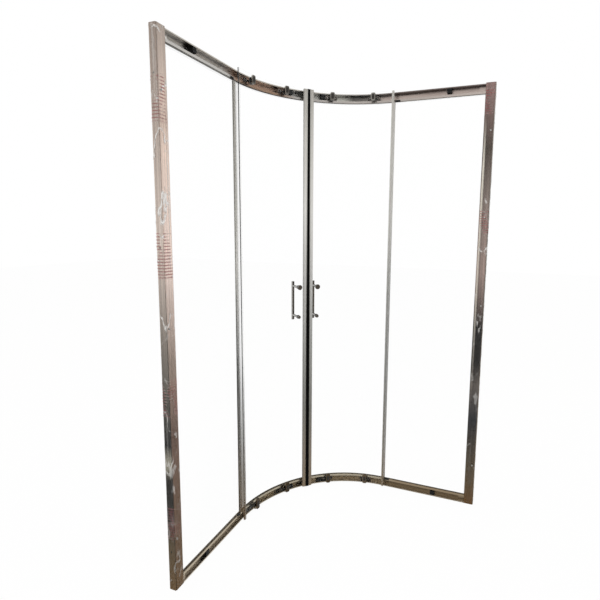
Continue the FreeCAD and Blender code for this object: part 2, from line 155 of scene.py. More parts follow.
class Shade:
    """A node material that is put together socket by socket."""

    def __init__(self, name: str) -> None:
        """Start an empty material with one Principled shader.

        Args:
            name: the finish's name.
        """
        self.material = bpy.data.materials.new(name)
        self.material.use_nodes = True
        self.tree = self.material.node_tree
        self.tree.nodes.clear()
        self.output = self.add("ShaderNodeOutputMaterial")
        self.body = self.add("ShaderNodeBsdfPrincipled")
        self.join(self.body.outputs["BSDF"], self.output.inputs["Surface"])
        place = self.add("ShaderNodeTexCoord")
        self.coordinates = place.outputs["Object"]
        self.normal = place.outputs["Normal"]

    def add(self, kind: str, **settings: object) -> bpy.types.Node:
        """Add a node and set its plain attributes.

        Args:
            kind: the node's type.
            settings: its attributes.

        Returns:
            The node.
        """
        node = self.tree.nodes.new(kind)
        for key, value in settings.items():
            setattr(node, key, value)
        return node

    def join(self, source: Socket, target: Socket) -> None:
        """Link two sockets."""
        self.tree.links.new(source, target)

    def feed(self, value: object, target: Socket) -> None:
        """Link a socket to an input, or set a plain value on it.

        Args:
            value: socket, number or vector.
            target: the input.
        """
        if isinstance(value, Socket):
            self.join(value, target)
        else:
            target.default_value = value

    def fix(self, **values: object) -> "Shade":
        """Set constant values on the shader's own sockets.

        Args:
            values: socket names with underscores for spaces, and their values.

        Returns:
            This material, for chaining.
        """
        for key, value in values.items():
            self.body.inputs[key.replace("_", " ")].default_value = value
        return self

    def maths(self, operation: str, *values: object) -> Socket:
        """Result of a Math node.

        Args:
            operation: what it works out.
            values: sockets or numbers.

        Returns:
            The result socket.
        """
        node = self.add("ShaderNodeMath", operation=operation)
        for value, target in zip(values, node.inputs):
            self.feed(value, target)
        return node.outputs[0]

    def vectors(self, operation: str, *values: object) -> bpy.types.NodeOutputs:
        """Results of a Vector Math node.

        Args:
            operation: what it works out.
            values: sockets or plain vectors.

        Returns:
            The node's outputs, Vector and Value.
        """
        node = self.add("ShaderNodeVectorMath", operation=operation)
        for value, target in zip(values, node.inputs):
            self.feed(value, target)
        return node.outputs

    def product(self, first: Socket, second: Socket) -> Socket:
        """Product of two values."""
        return self.maths("MULTIPLY", first, second)

    def larger(self, first: Socket, second: Socket) -> Socket:
        """The larger of two values."""
        return self.maths("MAXIMUM", first, second)

    def stretched(self, scale: Point, turn: float = 0.0) -> Socket:
        """Object coordinates, scaled by axis and turned about the vertical.

        Args:
            scale: scale of each axis.
            turn: degrees about the vertical.

        Returns:
            The mapped vector socket.
        """
        node = self.add("ShaderNodeMapping")
        node.inputs["Scale"].default_value = scale
        node.inputs["Rotation"].default_value = (0.0, 0.0, math.radians(turn))
        self.join(self.coordinates, node.inputs["Vector"])
        return node.outputs["Vector"]

    def noise(self, vector: Socket, scale: float = 1.0, detail: float = 3.0, rough: float = 0.5) -> Socket:
        """Noise over a vector.

        Args:
            vector: where the noise is read.
            scale: noise scale.
            detail: octaves.
            rough: weight of the finer octaves.

        Returns:
            The noise's value socket.
        """
        node = self.add("ShaderNodeTexNoise")
        self.join(vector, node.inputs["Vector"])
        node.inputs["Scale"].default_value = scale
        node.inputs["Detail"].default_value = detail
        node.inputs["Roughness"].default_value = rough
        return node.outputs["Fac"]

    def cloud(self) -> Socket:
        """Slow noise that clouds a polished metal."""
        return self.noise(self.coordinates, scale=9.0, detail=2.0)

    def axis(self, name: str) -> Socket:
        """One of the object coordinates.

        Args:
            name: X, Y or Z.

        Returns:
            The coordinate's socket.
        """
        split = self.add("ShaderNodeSeparateXYZ")
        self.join(self.coordinates, split.inputs["Vector"])
        return split.outputs[name]

    def round(self) -> Socket:
        """Share of the way round the front, from the left wall to the right one."""
        return self.span(self.maths("ADD", self.axis("X"), self.axis("Y")), -2.0 * PLAN.half, 2.0 * PLAN.half)

    def across(self) -> Socket:
        """Share of the way across the right post, from its pane to the wall."""
        return self.span(self.axis("X"), PLAN.half - PLAN.post, PLAN.half)

    def height(self) -> Socket:
        """Height over the floor as a share of the cabin's height."""
        return self.maths("MULTIPLY", self.axis("Z"), 1.0 / PLAN.height)

    def depth(self) -> Socket:
        """Distance inward from the cabin's outline, up to 60 mm."""
        cx, cy = PLAN.centre
        away = self.vectors("MULTIPLY_ADD", self.coordinates, (-1.0, 1.0, 0.0), (cx, -cy, 0.0))["Vector"]
        held = self.vectors("MAXIMUM", away, grey(0.0))["Vector"]
        reach = self.vectors("LENGTH", held)["Value"]
        return self.span(reach, PLAN.corner - DEPTH_REACH, PLAN.corner, DEPTH_REACH, 0.0)

    def lean(self, way: Point) -> Socket:
        """How far the surface faces a fixed way of the piece, from -1 to 1.

        Args:
            way: unit vector in the piece's own frame.

        Returns:
            The cosine's socket.
        """
        return self.vectors("DOT_PRODUCT", self.normal, way)["Value"]

    def level(self) -> Socket:
        """1 on faces that lie level, and 0 on upright ones."""
        return self.span(self.maths("ABSOLUTE", self.lean(UP)), *FACING)

    def ramp(self, value: Socket, stops: Sequence[tuple[float, Colour]]) -> Socket:
        """Colour ramp over a value.

        Args:
            value: the value read.
            stops: positions and colours, lowest first.

        Returns:
            The ramp's colour socket.
        """
        node = self.add("ShaderNodeValToRGB")
        band = node.color_ramp
        while len(band.elements) < len(stops):
            band.elements.new(1.0)
        for element, (position, colour) in zip(band.elements, stops):
            element.position = position
            element.color = (*colour, 1.0)
        self.join(value, node.inputs["Fac"])
        return node.outputs["Color"]

    def fade(self, value: Socket, shares: Shares) -> Socket:
        """Ramp of plain shares over a value.

        Args:
            value: the value read.
            shares: positions and shares, lowest position first.

        Returns:
            The share's socket.
        """
        return self.ramp(value, [(at, grey(share)) for at, share in shares])

    def mixed(self, share: object, low: object, high: object, blend: str = "MIX") -> Socket:
        """Mix of two colours or sockets.

        Args:
            share: the mixing factor, as a socket or a number.
            low: colour or socket at 0.
            high: colour or socket at 1.
            blend: blend mode.

        Returns:
            The mixed colour socket.
        """
        node = self.add("ShaderNodeMix", data_type="RGBA", blend_type=blend)
        self.feed(share, node.inputs[0])
        for value, target in ((low, node.inputs[6]), (high, node.inputs[7])):
            self.feed(value if isinstance(value, Socket) else (*value, 1.0), target)
        return node.outputs[2]

    def span(self, value: Socket, low: float, high: float, floor: float = 0.0, top: float = 1.0) -> Socket:
        """A value's range moved to another range, held at its ends.

        Args:
            value: the value read.
            low: lowest value read.
            high: highest value read.
            floor: result at low.
            top: result at high.

        Returns:
            The result socket.
        """
        node = self.add("ShaderNodeMapRange")
        self.join(value, node.inputs["Value"])
        for key, number in (("From Min", low), ("From Max", high), ("To Min", floor), ("To Max", top)):
            node.inputs[key].default_value = number
        return node.outputs["Result"]

    def darkened(self, colour: object, value: Socket, least: float) -> Socket:
        """A colour that falls to a share of itself where a noise is low.

        Args:
            colour: colour or socket.
            value: the noise read.
            least: the lowest share.

        Returns:
            The darkened colour socket.
        """
        share = self.mixed(self.span(value, *NOISE_REACH), grey(least), WHITE)
        return self.mixed(1.0, colour, share, "MULTIPLY")

    def surface(self, colour: Socket, value: Socket, rough: Reach, reach: Reach = NOISE_REACH) -> None:
        """Set the base colour, and a roughness that follows a noise.

        Args:
            colour: the base colour.
            value: the noise read.
            rough: roughness at the noise's low and high end.
            reach: the noise's low and high end.
        """
        self.join(colour, self.body.inputs["Base Color"])
        self.join(self.span(value, *reach, *rough), self.body.inputs["Roughness"])

    def relief(self, value: Socket, strength: float, distance: float) -> None:
        """Bump from a value.

        Args:
            value: the height read.
            strength: share of the relief shown.
            distance: relief in metres.
        """
        node = self.add("ShaderNodeBump")
        node.inputs["Strength"].default_value = strength
        node.inputs["Distance"].default_value = distance
        self.join(value, node.inputs["Height"])
        self.join(node.outputs["Normal"], self.body.inputs["Normal"])


class Finish:
    """A look that can be built as a node material."""

    def material(self) -> Material:
        """Build the material."""
        raise NotImplementedError


@dataclass(frozen=True)
class Metal(Finish):
    """A drawn or polished metal with die lines, whose tone changes with height; on the posts this is painted reflection
    of the room, browner towards the floor.
    """

    name: str
    stops: Stops
    streak: Point
    streak_dark: float
    rough: Reach = (0.12, 0.26)
    relief: Relief = (0.15, 0.0002)
    # Ramp for the face towards the room: painted shade with a painted highlight.
    front: Optional[Stops] = None
    # Painted highlight streak: where it lies across the right post, how it rises with height, and its colour.
    highlight_streak: Optional[Shares] = None
    highlight_streak_rise: Shares = ((0.28, 0.0), (0.52, 0.5), (0.82, 1.0), (0.93, 0.0))
    highlight_streak_tone: Colour = (1.0, 0.93, 0.80)

    def material(self) -> Material:
        """Build the metal.

        Returns:
            The finished material.
        """
        shade = Shade(self.name).fix(Metallic=1.0)
        lines = shade.noise(shade.stretched(self.streak), detail=4.0, rough=0.6)
        height = shade.height()
        colour = shade.ramp(height, self.stops)
        # The face towards the room takes its own ramp of painted shade and painted highlight.
        if self.front:
            facing = shade.span(shade.lean((0.0, -1.0, 0.0)), *FACING)
            colour = shade.mixed(facing, colour, shade.ramp(height, self.front))
        # A painted highlight streak along one edge of the right post.
        if self.highlight_streak:
            share = shade.product(shade.fade(shade.across(), self.highlight_streak), shade.fade(height, self.highlight_streak_rise))
            colour = shade.mixed(share, colour, self.highlight_streak_tone)
        shade.surface(shade.darkened(colour, lines, self.streak_dark), shade.cloud(), self.rough, CLOUD_REACH)
        shade.relief(lines, *self.relief)
        return shade.material


@dataclass(frozen=True)
class Extrusion(Finish):
    """A rail's polished aluminium, whose web, lip, ledge, flange and underside carry painted reflections of the room,
    with painted shade near the rail's edge and a painted highlight on the level faces at the slot.

    Shares of the section run from the rail's outer edge to its pane slot, and depths inward from the outline.
    """

    name: str
    edge: float
    slot: float
    web: Stops
    lip: Stops
    ledge: Stops
    flange: Stops
    outside: Colour
    # Painted light on the level undersides near the rail's edge, and the share of the run where it shows.
    painted_soffit_light: Colour
    painted_soffit_run: Shares
    # Painted shade: share of the web's colour left near the rail's edge, and where it fades out.
    corner: float = 1.0
    corner_shade_reach: Reach = (0.10, 0.22)
    far_reach: Reach = (0.30, 0.36)
    slot_reach: Reach = (0.85, 0.9)
    skin_depth: Reach = (0.003, 0.0045)
    inner_depth: Reach = (0.012, 0.016)
    # Painted highlight on the level faces at the slot's outer side, out to this depth, and its colour.
    painted_highlight_depth: Reach = (0.017, 0.018)
    painted_highlight: Colour = WHITE
    streak: Point = (1.2, 1.2, 210.0)
    streak_dark: float = 0.8
    rough: Reach = (0.24, 0.36)
    relief: Relief = (0.03, 0.0002)

    def material(self) -> Material:
        """Build the rail's finish.

        Returns:
            The finished material.
        """
        shade = Shade(self.name).fix(Metallic=1.0)
        lines = shade.noise(shade.stretched(self.streak))
        cloud, depth, along, level = shade.cloud(), shade.depth(), shade.round(), shade.level()
        section = shade.span(shade.height(), self.edge / PLAN.height, self.slot / PLAN.height)
        far = shade.span(section, *self.far_reach)
        inner = shade.larger(shade.span(depth, *self.inner_depth), shade.product(level, far))
        bend = shade.fade(along, self.painted_soffit_run)
        # Painted shade darkens the web near the rail's edge, except on the bend.
        corner = shade.fade(section, tuple(zip(self.corner_shade_reach, (self.corner, 1.0))))
        web = shade.mixed(1.0, shade.ramp(along, self.web), shade.mixed(bend, corner, WHITE), "MULTIPLY")
        near_slot = shade.mixed(level, shade.ramp(along, self.lip), shade.ramp(along, self.ledge))
        rims = shade.mixed(far, shade.ramp(along, self.flange), near_slot)
        room = shade.mixed(shade.span(depth, *self.skin_depth), self.outside, shade.mixed(inner, web, rims))
        # Painted light: the level undersides near the edge take the soffit colour.
        under = shade.product(level, shade.span(section, *self.far_reach, 1.0, 0.0))
        room = shade.mixed(shade.product(under, bend), room, self.painted_soffit_light)
        worn = shade.darkened(room, lines, self.streak_dark)
        # Painted highlight: white on the level faces at the pane slot's outer side.
        ledge = shade.product(level, shade.span(section, *self.slot_reach))
        outer = shade.product(ledge, shade.span(depth, *self.painted_highlight_depth, 1.0, 0.0))
        shade.surface(shade.mixed(outer, worn, self.painted_highlight), cloud, self.rough, CLOUD_REACH)
        shade.relief(cloud, *self.relief)
        return shade.material


@dataclass(frozen=True)
class Chrome(Finish):
    """Plated metal with fine polishing marks, a painted highlight on one side and painted dark reflections on its
    flanks, darker towards the bottom where low is set.
    """

    name: str
    painted_tones: Stops
    low: Colour = WHITE
    # Way of the painted highlight, in the piece's frame.
    way: Point = (-0.34, -0.90, 0.27)
    marks: Point = (260.0, 260.0, 60.0)
    marks_dark: float = 0.8
    rough: Reach = (0.05, 0.14)
    relief: Relief = (0.015, 0.0001)

    def material(self) -> Material:
        """Build the plating.

        Returns:
            The finished material.
        """
        shade = Shade(self.name).fix(Metallic=1.0)
        marks = shade.noise(shade.stretched(self.marks), detail=4.0, rough=0.6)
        # Painted reflection: the tone follows how far the surface faces a fixed way, with a narrow painted highlight.
        tone = shade.ramp(shade.span(shade.lean(self.way), -1.0, 1.0), self.painted_tones)
        # Darker towards the bottom.
        height_tint = shade.mixed(shade.height(), self.low, WHITE)
        worn = shade.darkened(tone, marks, self.marks_dark)
        shade.surface(shade.mixed(1.0, worn, height_tint, "MULTIPLY"), marks, self.rough)
        shade.relief(marks, *self.relief)
        return shade.material


@dataclass(frozen=True)
class Polymer(Finish):
    """A moulded or extruded plastic or rubber with a fine grain, and on a magnet strip a jacket at its sides."""

    name: str
    low: Colour
    high: Colour
    streak: Point = (60.0, 60.0, 60.0)
    rough: Reach = (0.35, 0.55)
    gloss: float = 0.4
    grain: float = 300.0
    relief: Relief = (0.05, 0.0001)
    meeting: Reach = (0.49, 0.51)
    jacket: Optional[tuple[Colour, Colour]] = None
    jacket_rise: Reach = (0.45, 0.8)
    jacket_from: Reach = (0.44, 0.47)

    def material(self) -> Material:
        """Build the plastic.

        Returns:
            The finished material.
        """
        shade = Shade(self.name).fix(Specular_IOR_Level=self.gloss)
        grain = shade.noise(shade.stretched(self.streak), detail=4.0, rough=0.65)
        colour = shade.mixed(shade.span(grain, *NOISE_REACH), self.low, self.high)
        if self.jacket:
            away = shade.maths("ABSOLUTE", shade.span(shade.round(), *self.meeting, -1.0, 1.0))
            sides = shade.mixed(shade.span(shade.height(), *self.jacket_rise), *self.jacket)
            colour = shade.mixed(shade.span(away, *self.jacket_from), colour, sides)
        shade.surface(colour, grain, self.rough)
        shade.relief(shade.noise(shade.coordinates, self.grain, detail=2.0), *self.relief)
        return shade.material


@dataclass(frozen=True)
class Seal(Finish):
    """A milky drawn soft strip with lengthwise lines, whose tone is painted light: brightest above mid-height, browner
    and darker towards the floor.
    """

    name: str
    painted_tones: Stops
    alpha: float
    gloss: float = 0.5
    strength: float = 1.0
    clear_from: Optional[float] = None
    clear_step: float = 0.002
    clear_alpha: float = 0.2
    alpha_low: Optional[float] = None
    alpha_rise: Reach = (0.1, 0.4)
    lines: Point = (150.0, 150.0, 0.5)
    contrast: float = 0.72
    rough: Reach = (0.15, 0.3)
    relief: Relief = (0.05, 0.0002)

    def material(self) -> Material:
        """Build the seal.

        Returns:
            The finished material.
        """
        shade = Shade(self.name).fix(Alpha=self.alpha, Specular_IOR_Level=self.gloss)
        grain = shade.noise(shade.stretched(self.lines), detail=4.0, rough=0.65)
        # Painted light: tones by height, browner and darker towards the floor.
        painted_tones = [(at, tuple(self.strength * c for c in colour)) for at, colour in self.painted_tones]
        tone = shade.ramp(shade.height(), painted_tones)
        shade.surface(shade.darkened(tone, grain, self.contrast), grain, self.rough)
        if self.clear_from:
            end = self.clear_from + self.clear_step
            lip = shade.span(shade.depth(), self.clear_from, end, self.alpha, self.clear_alpha)
            shade.join(lip, shade.body.inputs["Alpha"])
        if self.alpha_low:
            rise = shade.span(shade.height(), *self.alpha_rise, self.alpha_low, self.alpha)
            shade.join(rise, shade.body.inputs["Alpha"])
        shade.relief(grain, *self.relief)
        return shade.material


@dataclass(frozen=True)
class Glass(Finish):
    """Clear safety glass: faces that gloss over at a slant, and on a bent pane dark side edges."""

    name: str
    bent: bool
    tint: Colour = (0.90, 0.97, 0.95)
    tint_deep: float = 0.97
    edge: Colour = (0.040, 0.040, 0.045)
    edge_cover: float = 0.9
    edge_reach: Reach = (0.6, 0.9)
    veil: Reach = (0.006, 0.12)
    veil_reach: Reach = (0.45, 1.0)
    haze: Point = (2.0, 2.0, 0.8)
    haze_reach: Reach = (0.2, 0.8)
    rough: Reach = (0.01, 0.05)

    def material(self) -> Material:
        """Build the glass.

        Returns:
            The finished material.
        """
        shade = Shade(self.name).fix(IOR=1.45, Specular_IOR_Level=0.3)
        haze = shade.noise(shade.stretched(self.haze))
        colour = shade.mixed(haze, tuple(self.tint_deep * c for c in self.tint), self.tint)
        facing = shade.add("ShaderNodeLayerWeight")
        facing.inputs["Blend"].default_value = 0.5
        cover = shade.span(facing.outputs["Facing"], *self.veil_reach, *self.veil)
        if self.bent:
            side = self.side_edge(shade)
            colour = shade.mixed(side, colour, self.edge)
            cover = shade.larger(cover, shade.span(side, 0.0, 1.0, 0.0, self.edge_cover))
        shade.surface(colour, haze, self.rough, self.haze_reach)
        shade.join(cover, shade.body.inputs["Alpha"])
        return shade.material

    def side_edge(self, shade: Shade) -> Socket:
        """1 on the upright cut edges, and 0 on the faces and the level edges.

        Args:
            shade: the material.

        Returns:
            The share's socket.
        """
        ray = shade.vectors("SUBTRACT", shade.coordinates, (*PLAN.centre, 0.0))["Vector"]
        along = shade.vectors("NORMALIZE", shade.vectors("CROSS_PRODUCT", ray, UP)["Vector"])["Vector"]
        facing = shade.vectors("DOT_PRODUCT", along, shade.normal)["Value"]
        return shade.span(shade.maths("ABSOLUTE", facing), *self.edge_reach)


@dataclass(frozen=True)
class Film(Finish):
    """Thin clear film with painted glints along its creases, a painted sheen in long streaks, and bands of plain ruled
    lines.
    """

    name: str
    bands: tuple[Reach, ...]
    glint_cover: float
    patches: Reach = (0.55, 0.64)
    # Share of the painted glints and sheen at each height.
    rise: Shares = ((0.0, 0.1), (0.40, 0.4), (0.58, 1.0), (1.0, 0.7))
    clear: Colour = (0.93, 0.91, 0.89)
    clear_cover: float = 0.015
    line: Colour = (0.42, 0.09, 0.09)
    line_cover: float = 0.28
    line_pitch: float = 0.0105
    line_reach: Reach = (0.60, 0.80)
    line_fade: float = 0.004
    folds: Point = (16.0, 16.0, 7.0)
    folds_turn: float = 20.0
    ridge_reach: Reach = (0.02, 0.11)
    patch: Point = (26.0, 26.0, 15.0)
    wear: Point = (34.0, 34.0, 9.0)
    wear_reach: Reach = (0.42, 0.52)
    sheen: Point = (55.0, 55.0, 1.7)
    sheen_reach: Reach = (0.63, 0.75)
    sheen_cover: float = 0.30
    relief: Relief = (0.9, 0.0015)

    def material(self) -> Material:
        """Build the film.

        Returns:
            The finished material.
        """
        shade = Shade(self.name).fix(Roughness=0.09, IOR=1.5)
        rise = shade.fade(shade.height(), self.rise)
        # Painted glints: white cover on the narrow ridges of a fold noise, in patches, more of them higher up.
        folds = shade.noise(shade.stretched(self.folds, self.folds_turn))
        ridge = shade.maths("ABSOLUTE", shade.span(folds, *CLOUD_REACH, -1.0, 1.0))
        patch = shade.noise(shade.stretched(self.patch), detail=2.0)
        glint = shade.product(shade.span(ridge, *self.ridge_reach, 1.0, 0.0), shade.span(patch, *self.patches))
        glint = shade.product(glint, rise)
        ruled = self.ruled(shade)
        shade.join(shade.mixed(ruled, self.clear, self.line), shade.body.inputs["Base Color"])
        # Painted sheen: long upright streaks of white cover.
        sheen = shade.noise(shade.stretched(self.sheen), detail=2.0)
        cover = shade.larger(shade.span(glint, 0.0, 1.0, self.clear_cover, self.glint_cover),
                             shade.span(ruled, 0.0, 1.0, 0.0, self.line_cover))
        gleam = shade.span(sheen, *self.sheen_reach, 0.0, self.sheen_cover)
        cover = shade.larger(cover, shade.product(gleam, rise))
        shade.join(cover, shade.body.inputs["Alpha"])
        shade.relief(folds, *self.relief)
        return shade.material

    def ruled(self, shade: Shade) -> Socket:
        """1 on the ruled lines, which are worn off in places.

        Args:
            shade: the material.

        Returns:
            The share's socket.
        """
        wave = shade.add("ShaderNodeTexWave", wave_type="BANDS", bands_direction="Z")
        wave.inputs["Scale"].default_value = math.pi / (10.0 * self.line_pitch)
        shade.join(shade.coordinates, wave.inputs["Vector"])
        shares = [(0.0, 0.0)]
        for low, high in self.bands:
            shares += [(low, 0.0), (low + self.line_fade, 1.0), (high, 1.0), (high + self.line_fade, 0.0)]
        ruling = shade.span(wave.outputs["Fac"], *self.line_reach)
        lines = shade.product(ruling, shade.fade(shade.height(), shares))
        worn = shade.noise(shade.stretched(self.wear), detail=2.0)
        return shade.product(lines, shade.span(worn, *self.wear_reach))


@dataclass(frozen=True)
class Finishes:
    """Every finish of the cabin, built once."""

    left_post: Material
    left_profile: Material
    right_post: Material
    profile: Material
    rail_top: Material
    rail_bottom: Material
    chrome: Material
    cap: Material
    rim: Material
    steel: Material
    hanger: Material
    flat_glass: Material
    bent_glass: Material
    seal: Material
    seal_right: Material
    trailing: Material
    trailing_right: Material
    carrier: Material
    magnet: Material
    rubber: Material
    truck: Material
    tyre: Material
    black: Material
    film: Material
    film_right: Material

    @classmethod
    def build(cls) -> "Finishes":
        """Build all finishes.

        Returns:
            The set of finishes.
        """
        looks = {**cls.posts(), **cls.rails(), **cls.fittings(), **cls.strips(), **cls.mouldings()}
        return cls(**{place: look.material() for place, look in looks.items()})

    @staticmethod
    def posts() -> dict[str, Finish]:
        """Metals and film of the wall posts, from the floor up."""
        upright = (130.0, 130.0, 0.35)
        # Painted shade on the left post's face towards the room, a painted highlight at a quarter of the height and
        # painted reflections above; the left wall profile takes it too.
        shaded = (
            (0.0, (0.13, 0.07, 0.02)), (0.09, (0.10, 0.07, 0.035)), (0.14, (0.02, 0.018, 0.015)),
            (0.22, (0.02, 0.018, 0.015)), (0.25, (0.42, 0.39, 0.31)), (0.285, (0.015, 0.015, 0.015)),
            (0.36, (0.10, 0.095, 0.08)), (0.48, (0.30, 0.26, 0.225)), (0.65, (0.80, 0.68, 0.60)),
            (1.0, (0.36, 0.29, 0.245)),
        )
        # Painted reflections from the floor up: browner near the floor, with painted light and dark bands above; plain
        # is the right wall profile's.
        left = (
            (0.0, (0.12, 0.06, 0.012)), (0.12, (0.12, 0.065, 0.03)), (0.30, (0.19, 0.12, 0.09)),
            (0.44, (0.36, 0.28, 0.23)), (0.62, (0.95, 0.78, 0.70)), (0.80, (0.92, 0.73, 0.62)),
            (1.0, (0.43, 0.36, 0.31)),
        )
        right = (
            (0.0, (0.14, 0.07, 0.02)), (0.08, (0.11, 0.08, 0.045)), (0.22, (0.025, 0.028, 0.034)),
            (0.305, (0.14, 0.12, 0.105)), (0.36, (0.015, 0.014, 0.013)), (0.45, (0.015, 0.014, 0.013)),
            (0.58, (0.42, 0.31, 0.27)), (0.74, (0.30, 0.24, 0.21)), (0.86, (0.09, 0.07, 0.055)),
            (1.0, (0.34, 0.22, 0.20)),
        )
        plain = ((0.0, (0.16, 0.11, 0.06)), (0.45, (0.20, 0.17, 0.14)), (1.0, (0.34, 0.29, 0.25)))
        left_bands = ((0.10, 0.165), (0.336, 0.407), (0.586, 0.666), (0.845, 0.92))
        right_bands = ((0.665, 0.72), (0.93, 0.985))
        # Where the painted highlight streak lies across the right post.
        highlight_streak = ((0.06, 0.0), (0.10, 0.95), (0.24, 0.95), (0.29, 0.0))
        return {
            "left_post": Metal("left_post_aluminium", left, upright, streak_dark=0.66, front=shaded),
            "left_profile": Metal("left_profile_aluminium", shaded, upright, streak_dark=0.62),
            "right_post": Metal("right_post_aluminium", right, upright, streak_dark=0.45, highlight_streak=highlight_streak),
            "profile": Metal("profile_aluminium", plain, upright, streak_dark=0.7, rough=(0.2, 0.35)),
            "film": Film("wrapping_film", left_bands, glint_cover=0.95, patches=(0.47, 0.57)),
            "film_right": Film("wrapping_film_right", right_bands, glint_cover=0.55),
        }

    @staticmethod
    def rails() -> dict[str, Finish]:
        """Aluminium of the rails, from the left wall to the right one."""
        # Along the run, the web, lip, ledge and flange ramps are painted reflections of the room and painted shade; the
        # soffit colour is painted light on the undersides, and corner is painted shade near the top rail's upper edge.
        top = Extrusion(
            "rail_aluminium", PLAN.rail_top, PLAN.rail_top - PLAN.rail,
            web=((0.0, (0.82, 0.79, 0.75)), (0.20, (0.78, 0.74, 0.70)), (0.24, (0.36, 0.235, 0.17)),
                 (0.41, (0.34, 0.22, 0.16)), (0.45, (0.28, 0.27, 0.26)), (0.58, (0.43, 0.42, 0.38)),
                 (0.63, (0.41, 0.40, 0.36)), (0.66, (0.12, 0.11, 0.10)), (0.72, (0.20, 0.18, 0.165)),
                 (0.75, (0.47, 0.39, 0.35)), (1.0, (0.46, 0.38, 0.34))),
            lip=((0.0, (0.56, 0.54, 0.51)), (0.22, (0.54, 0.52, 0.49)), (0.24, (0.30, 0.20, 0.14)),
                 (0.41, (0.30, 0.20, 0.14)), (0.46, (0.38, 0.36, 0.34)), (1.0, (0.50, 0.43, 0.39))),
            ledge=((0.0, (0.04, 0.04, 0.04)), (1.0, (0.06, 0.05, 0.045))),
            flange=((0.0, (0.52, 0.49, 0.45)), (0.40, (0.54, 0.50, 0.43)), (0.62, (0.48, 0.46, 0.43)),
                    (0.76, (0.20, 0.165, 0.15)), (1.0, (0.20, 0.165, 0.15))),
            outside=(0.55, 0.52, 0.48),
            painted_soffit_light=(0.95, 0.93, 0.90),
            painted_soffit_run=((0.20, 0.0), (0.25, 1.0), (0.60, 1.0), (0.68, 0.0)),
            corner=0.5,
        )
        bottom = Extrusion(
            "rail_aluminium_low", 0.0, PLAN.rail,
            web=((0.0, (0.72, 0.65, 0.55)), (0.20, (0.64, 0.56, 0.45)), (0.28, (0.33, 0.27, 0.18)),
                 (0.50, (0.25, 0.20, 0.13)), (1.0, (0.20, 0.15, 0.095))),
            lip=((0.0, (0.50, 0.43, 0.33)), (0.20, (0.44, 0.37, 0.27)), (0.26, (0.42, 0.37, 0.28)),
                 (0.74, (0.40, 0.35, 0.26)), (0.80, (0.30, 0.23, 0.15)), (1.0, (0.30, 0.23, 0.15))),
            ledge=((0.0, (0.12, 0.10, 0.07)), (1.0, (0.09, 0.072, 0.045))),
            flange=((0.0, (0.72, 0.64, 0.54)), (0.20, (0.58, 0.50, 0.40)), (0.28, (0.30, 0.245, 0.165)),
                    (0.50, (0.25, 0.20, 0.13)), (1.0, (0.24, 0.19, 0.125))),
            outside=(0.46, 0.40, 0.32),
            painted_soffit_light=(0.85, 0.79, 0.71),
            painted_soffit_run=((0.0, 1.0), (1.0, 1.0)),
        )
        return {"rail_top": top, "rail_bottom": bottom}

    @staticmethod
    def fittings() -> dict[str, Finish]:
        """Chrome and steel of the handles, hangers and screws, and the glass."""
        # Painted reflections by facing, from away to towards the highlight's way: dark flanks and a narrow painted
        # highlight at the end.
        handle = (
            (0.0, (0.05, 0.042, 0.036)), (0.45, (0.14, 0.115, 0.095)), (0.70, (0.06, 0.05, 0.04)),
            (0.90, (0.12, 0.105, 0.09)), (0.965, (0.50, 0.49, 0.47)), (1.0, (0.80, 0.80, 0.79)),
        )
        cap = (
            (0.0, (0.04, 0.036, 0.03)), (0.45, (0.15, 0.14, 0.12)), (0.70, (0.11, 0.10, 0.085)),
            (0.90, (0.21, 0.195, 0.17)), (1.0, (0.48, 0.47, 0.44)),
        )
        rim = ((0.0, (0.12, 0.10, 0.085)), (1.0, (0.30, 0.27, 0.245)))
        screw = ((0.0, (0.36, 0.35, 0.33)), (1.0, (0.42, 0.41, 0.39)))
        hanger = ((0.0, (0.14, 0.12, 0.09)), (1.0, (0.24, 0.23, 0.21)))
        return {
            "chrome": Chrome("handle_chrome", handle),
            "cap": Chrome("cap_chrome", cap, low=(0.42, 0.33, 0.23)),
            "rim": Chrome("rim_chrome", rim, low=(0.20, 0.16, 0.11)),
            "steel": Metal("screw_steel", screw, grey(300.0), streak_dark=0.8, rough=(0.2, 0.35)),
            "hanger": Metal("hanger_metal", hanger, grey(120.0), streak_dark=0.75, rough=(0.2, 0.4)),
            "flat_glass": Glass("clear_flat_glass", bent=False),
            "bent_glass": Glass("clear_bent_glass", bent=True),
        }

    @staticmethod
    def strips() -> dict[str, Finish]:
        """Soft strips on the panes' and the doors' upright edges, from the floor up."""
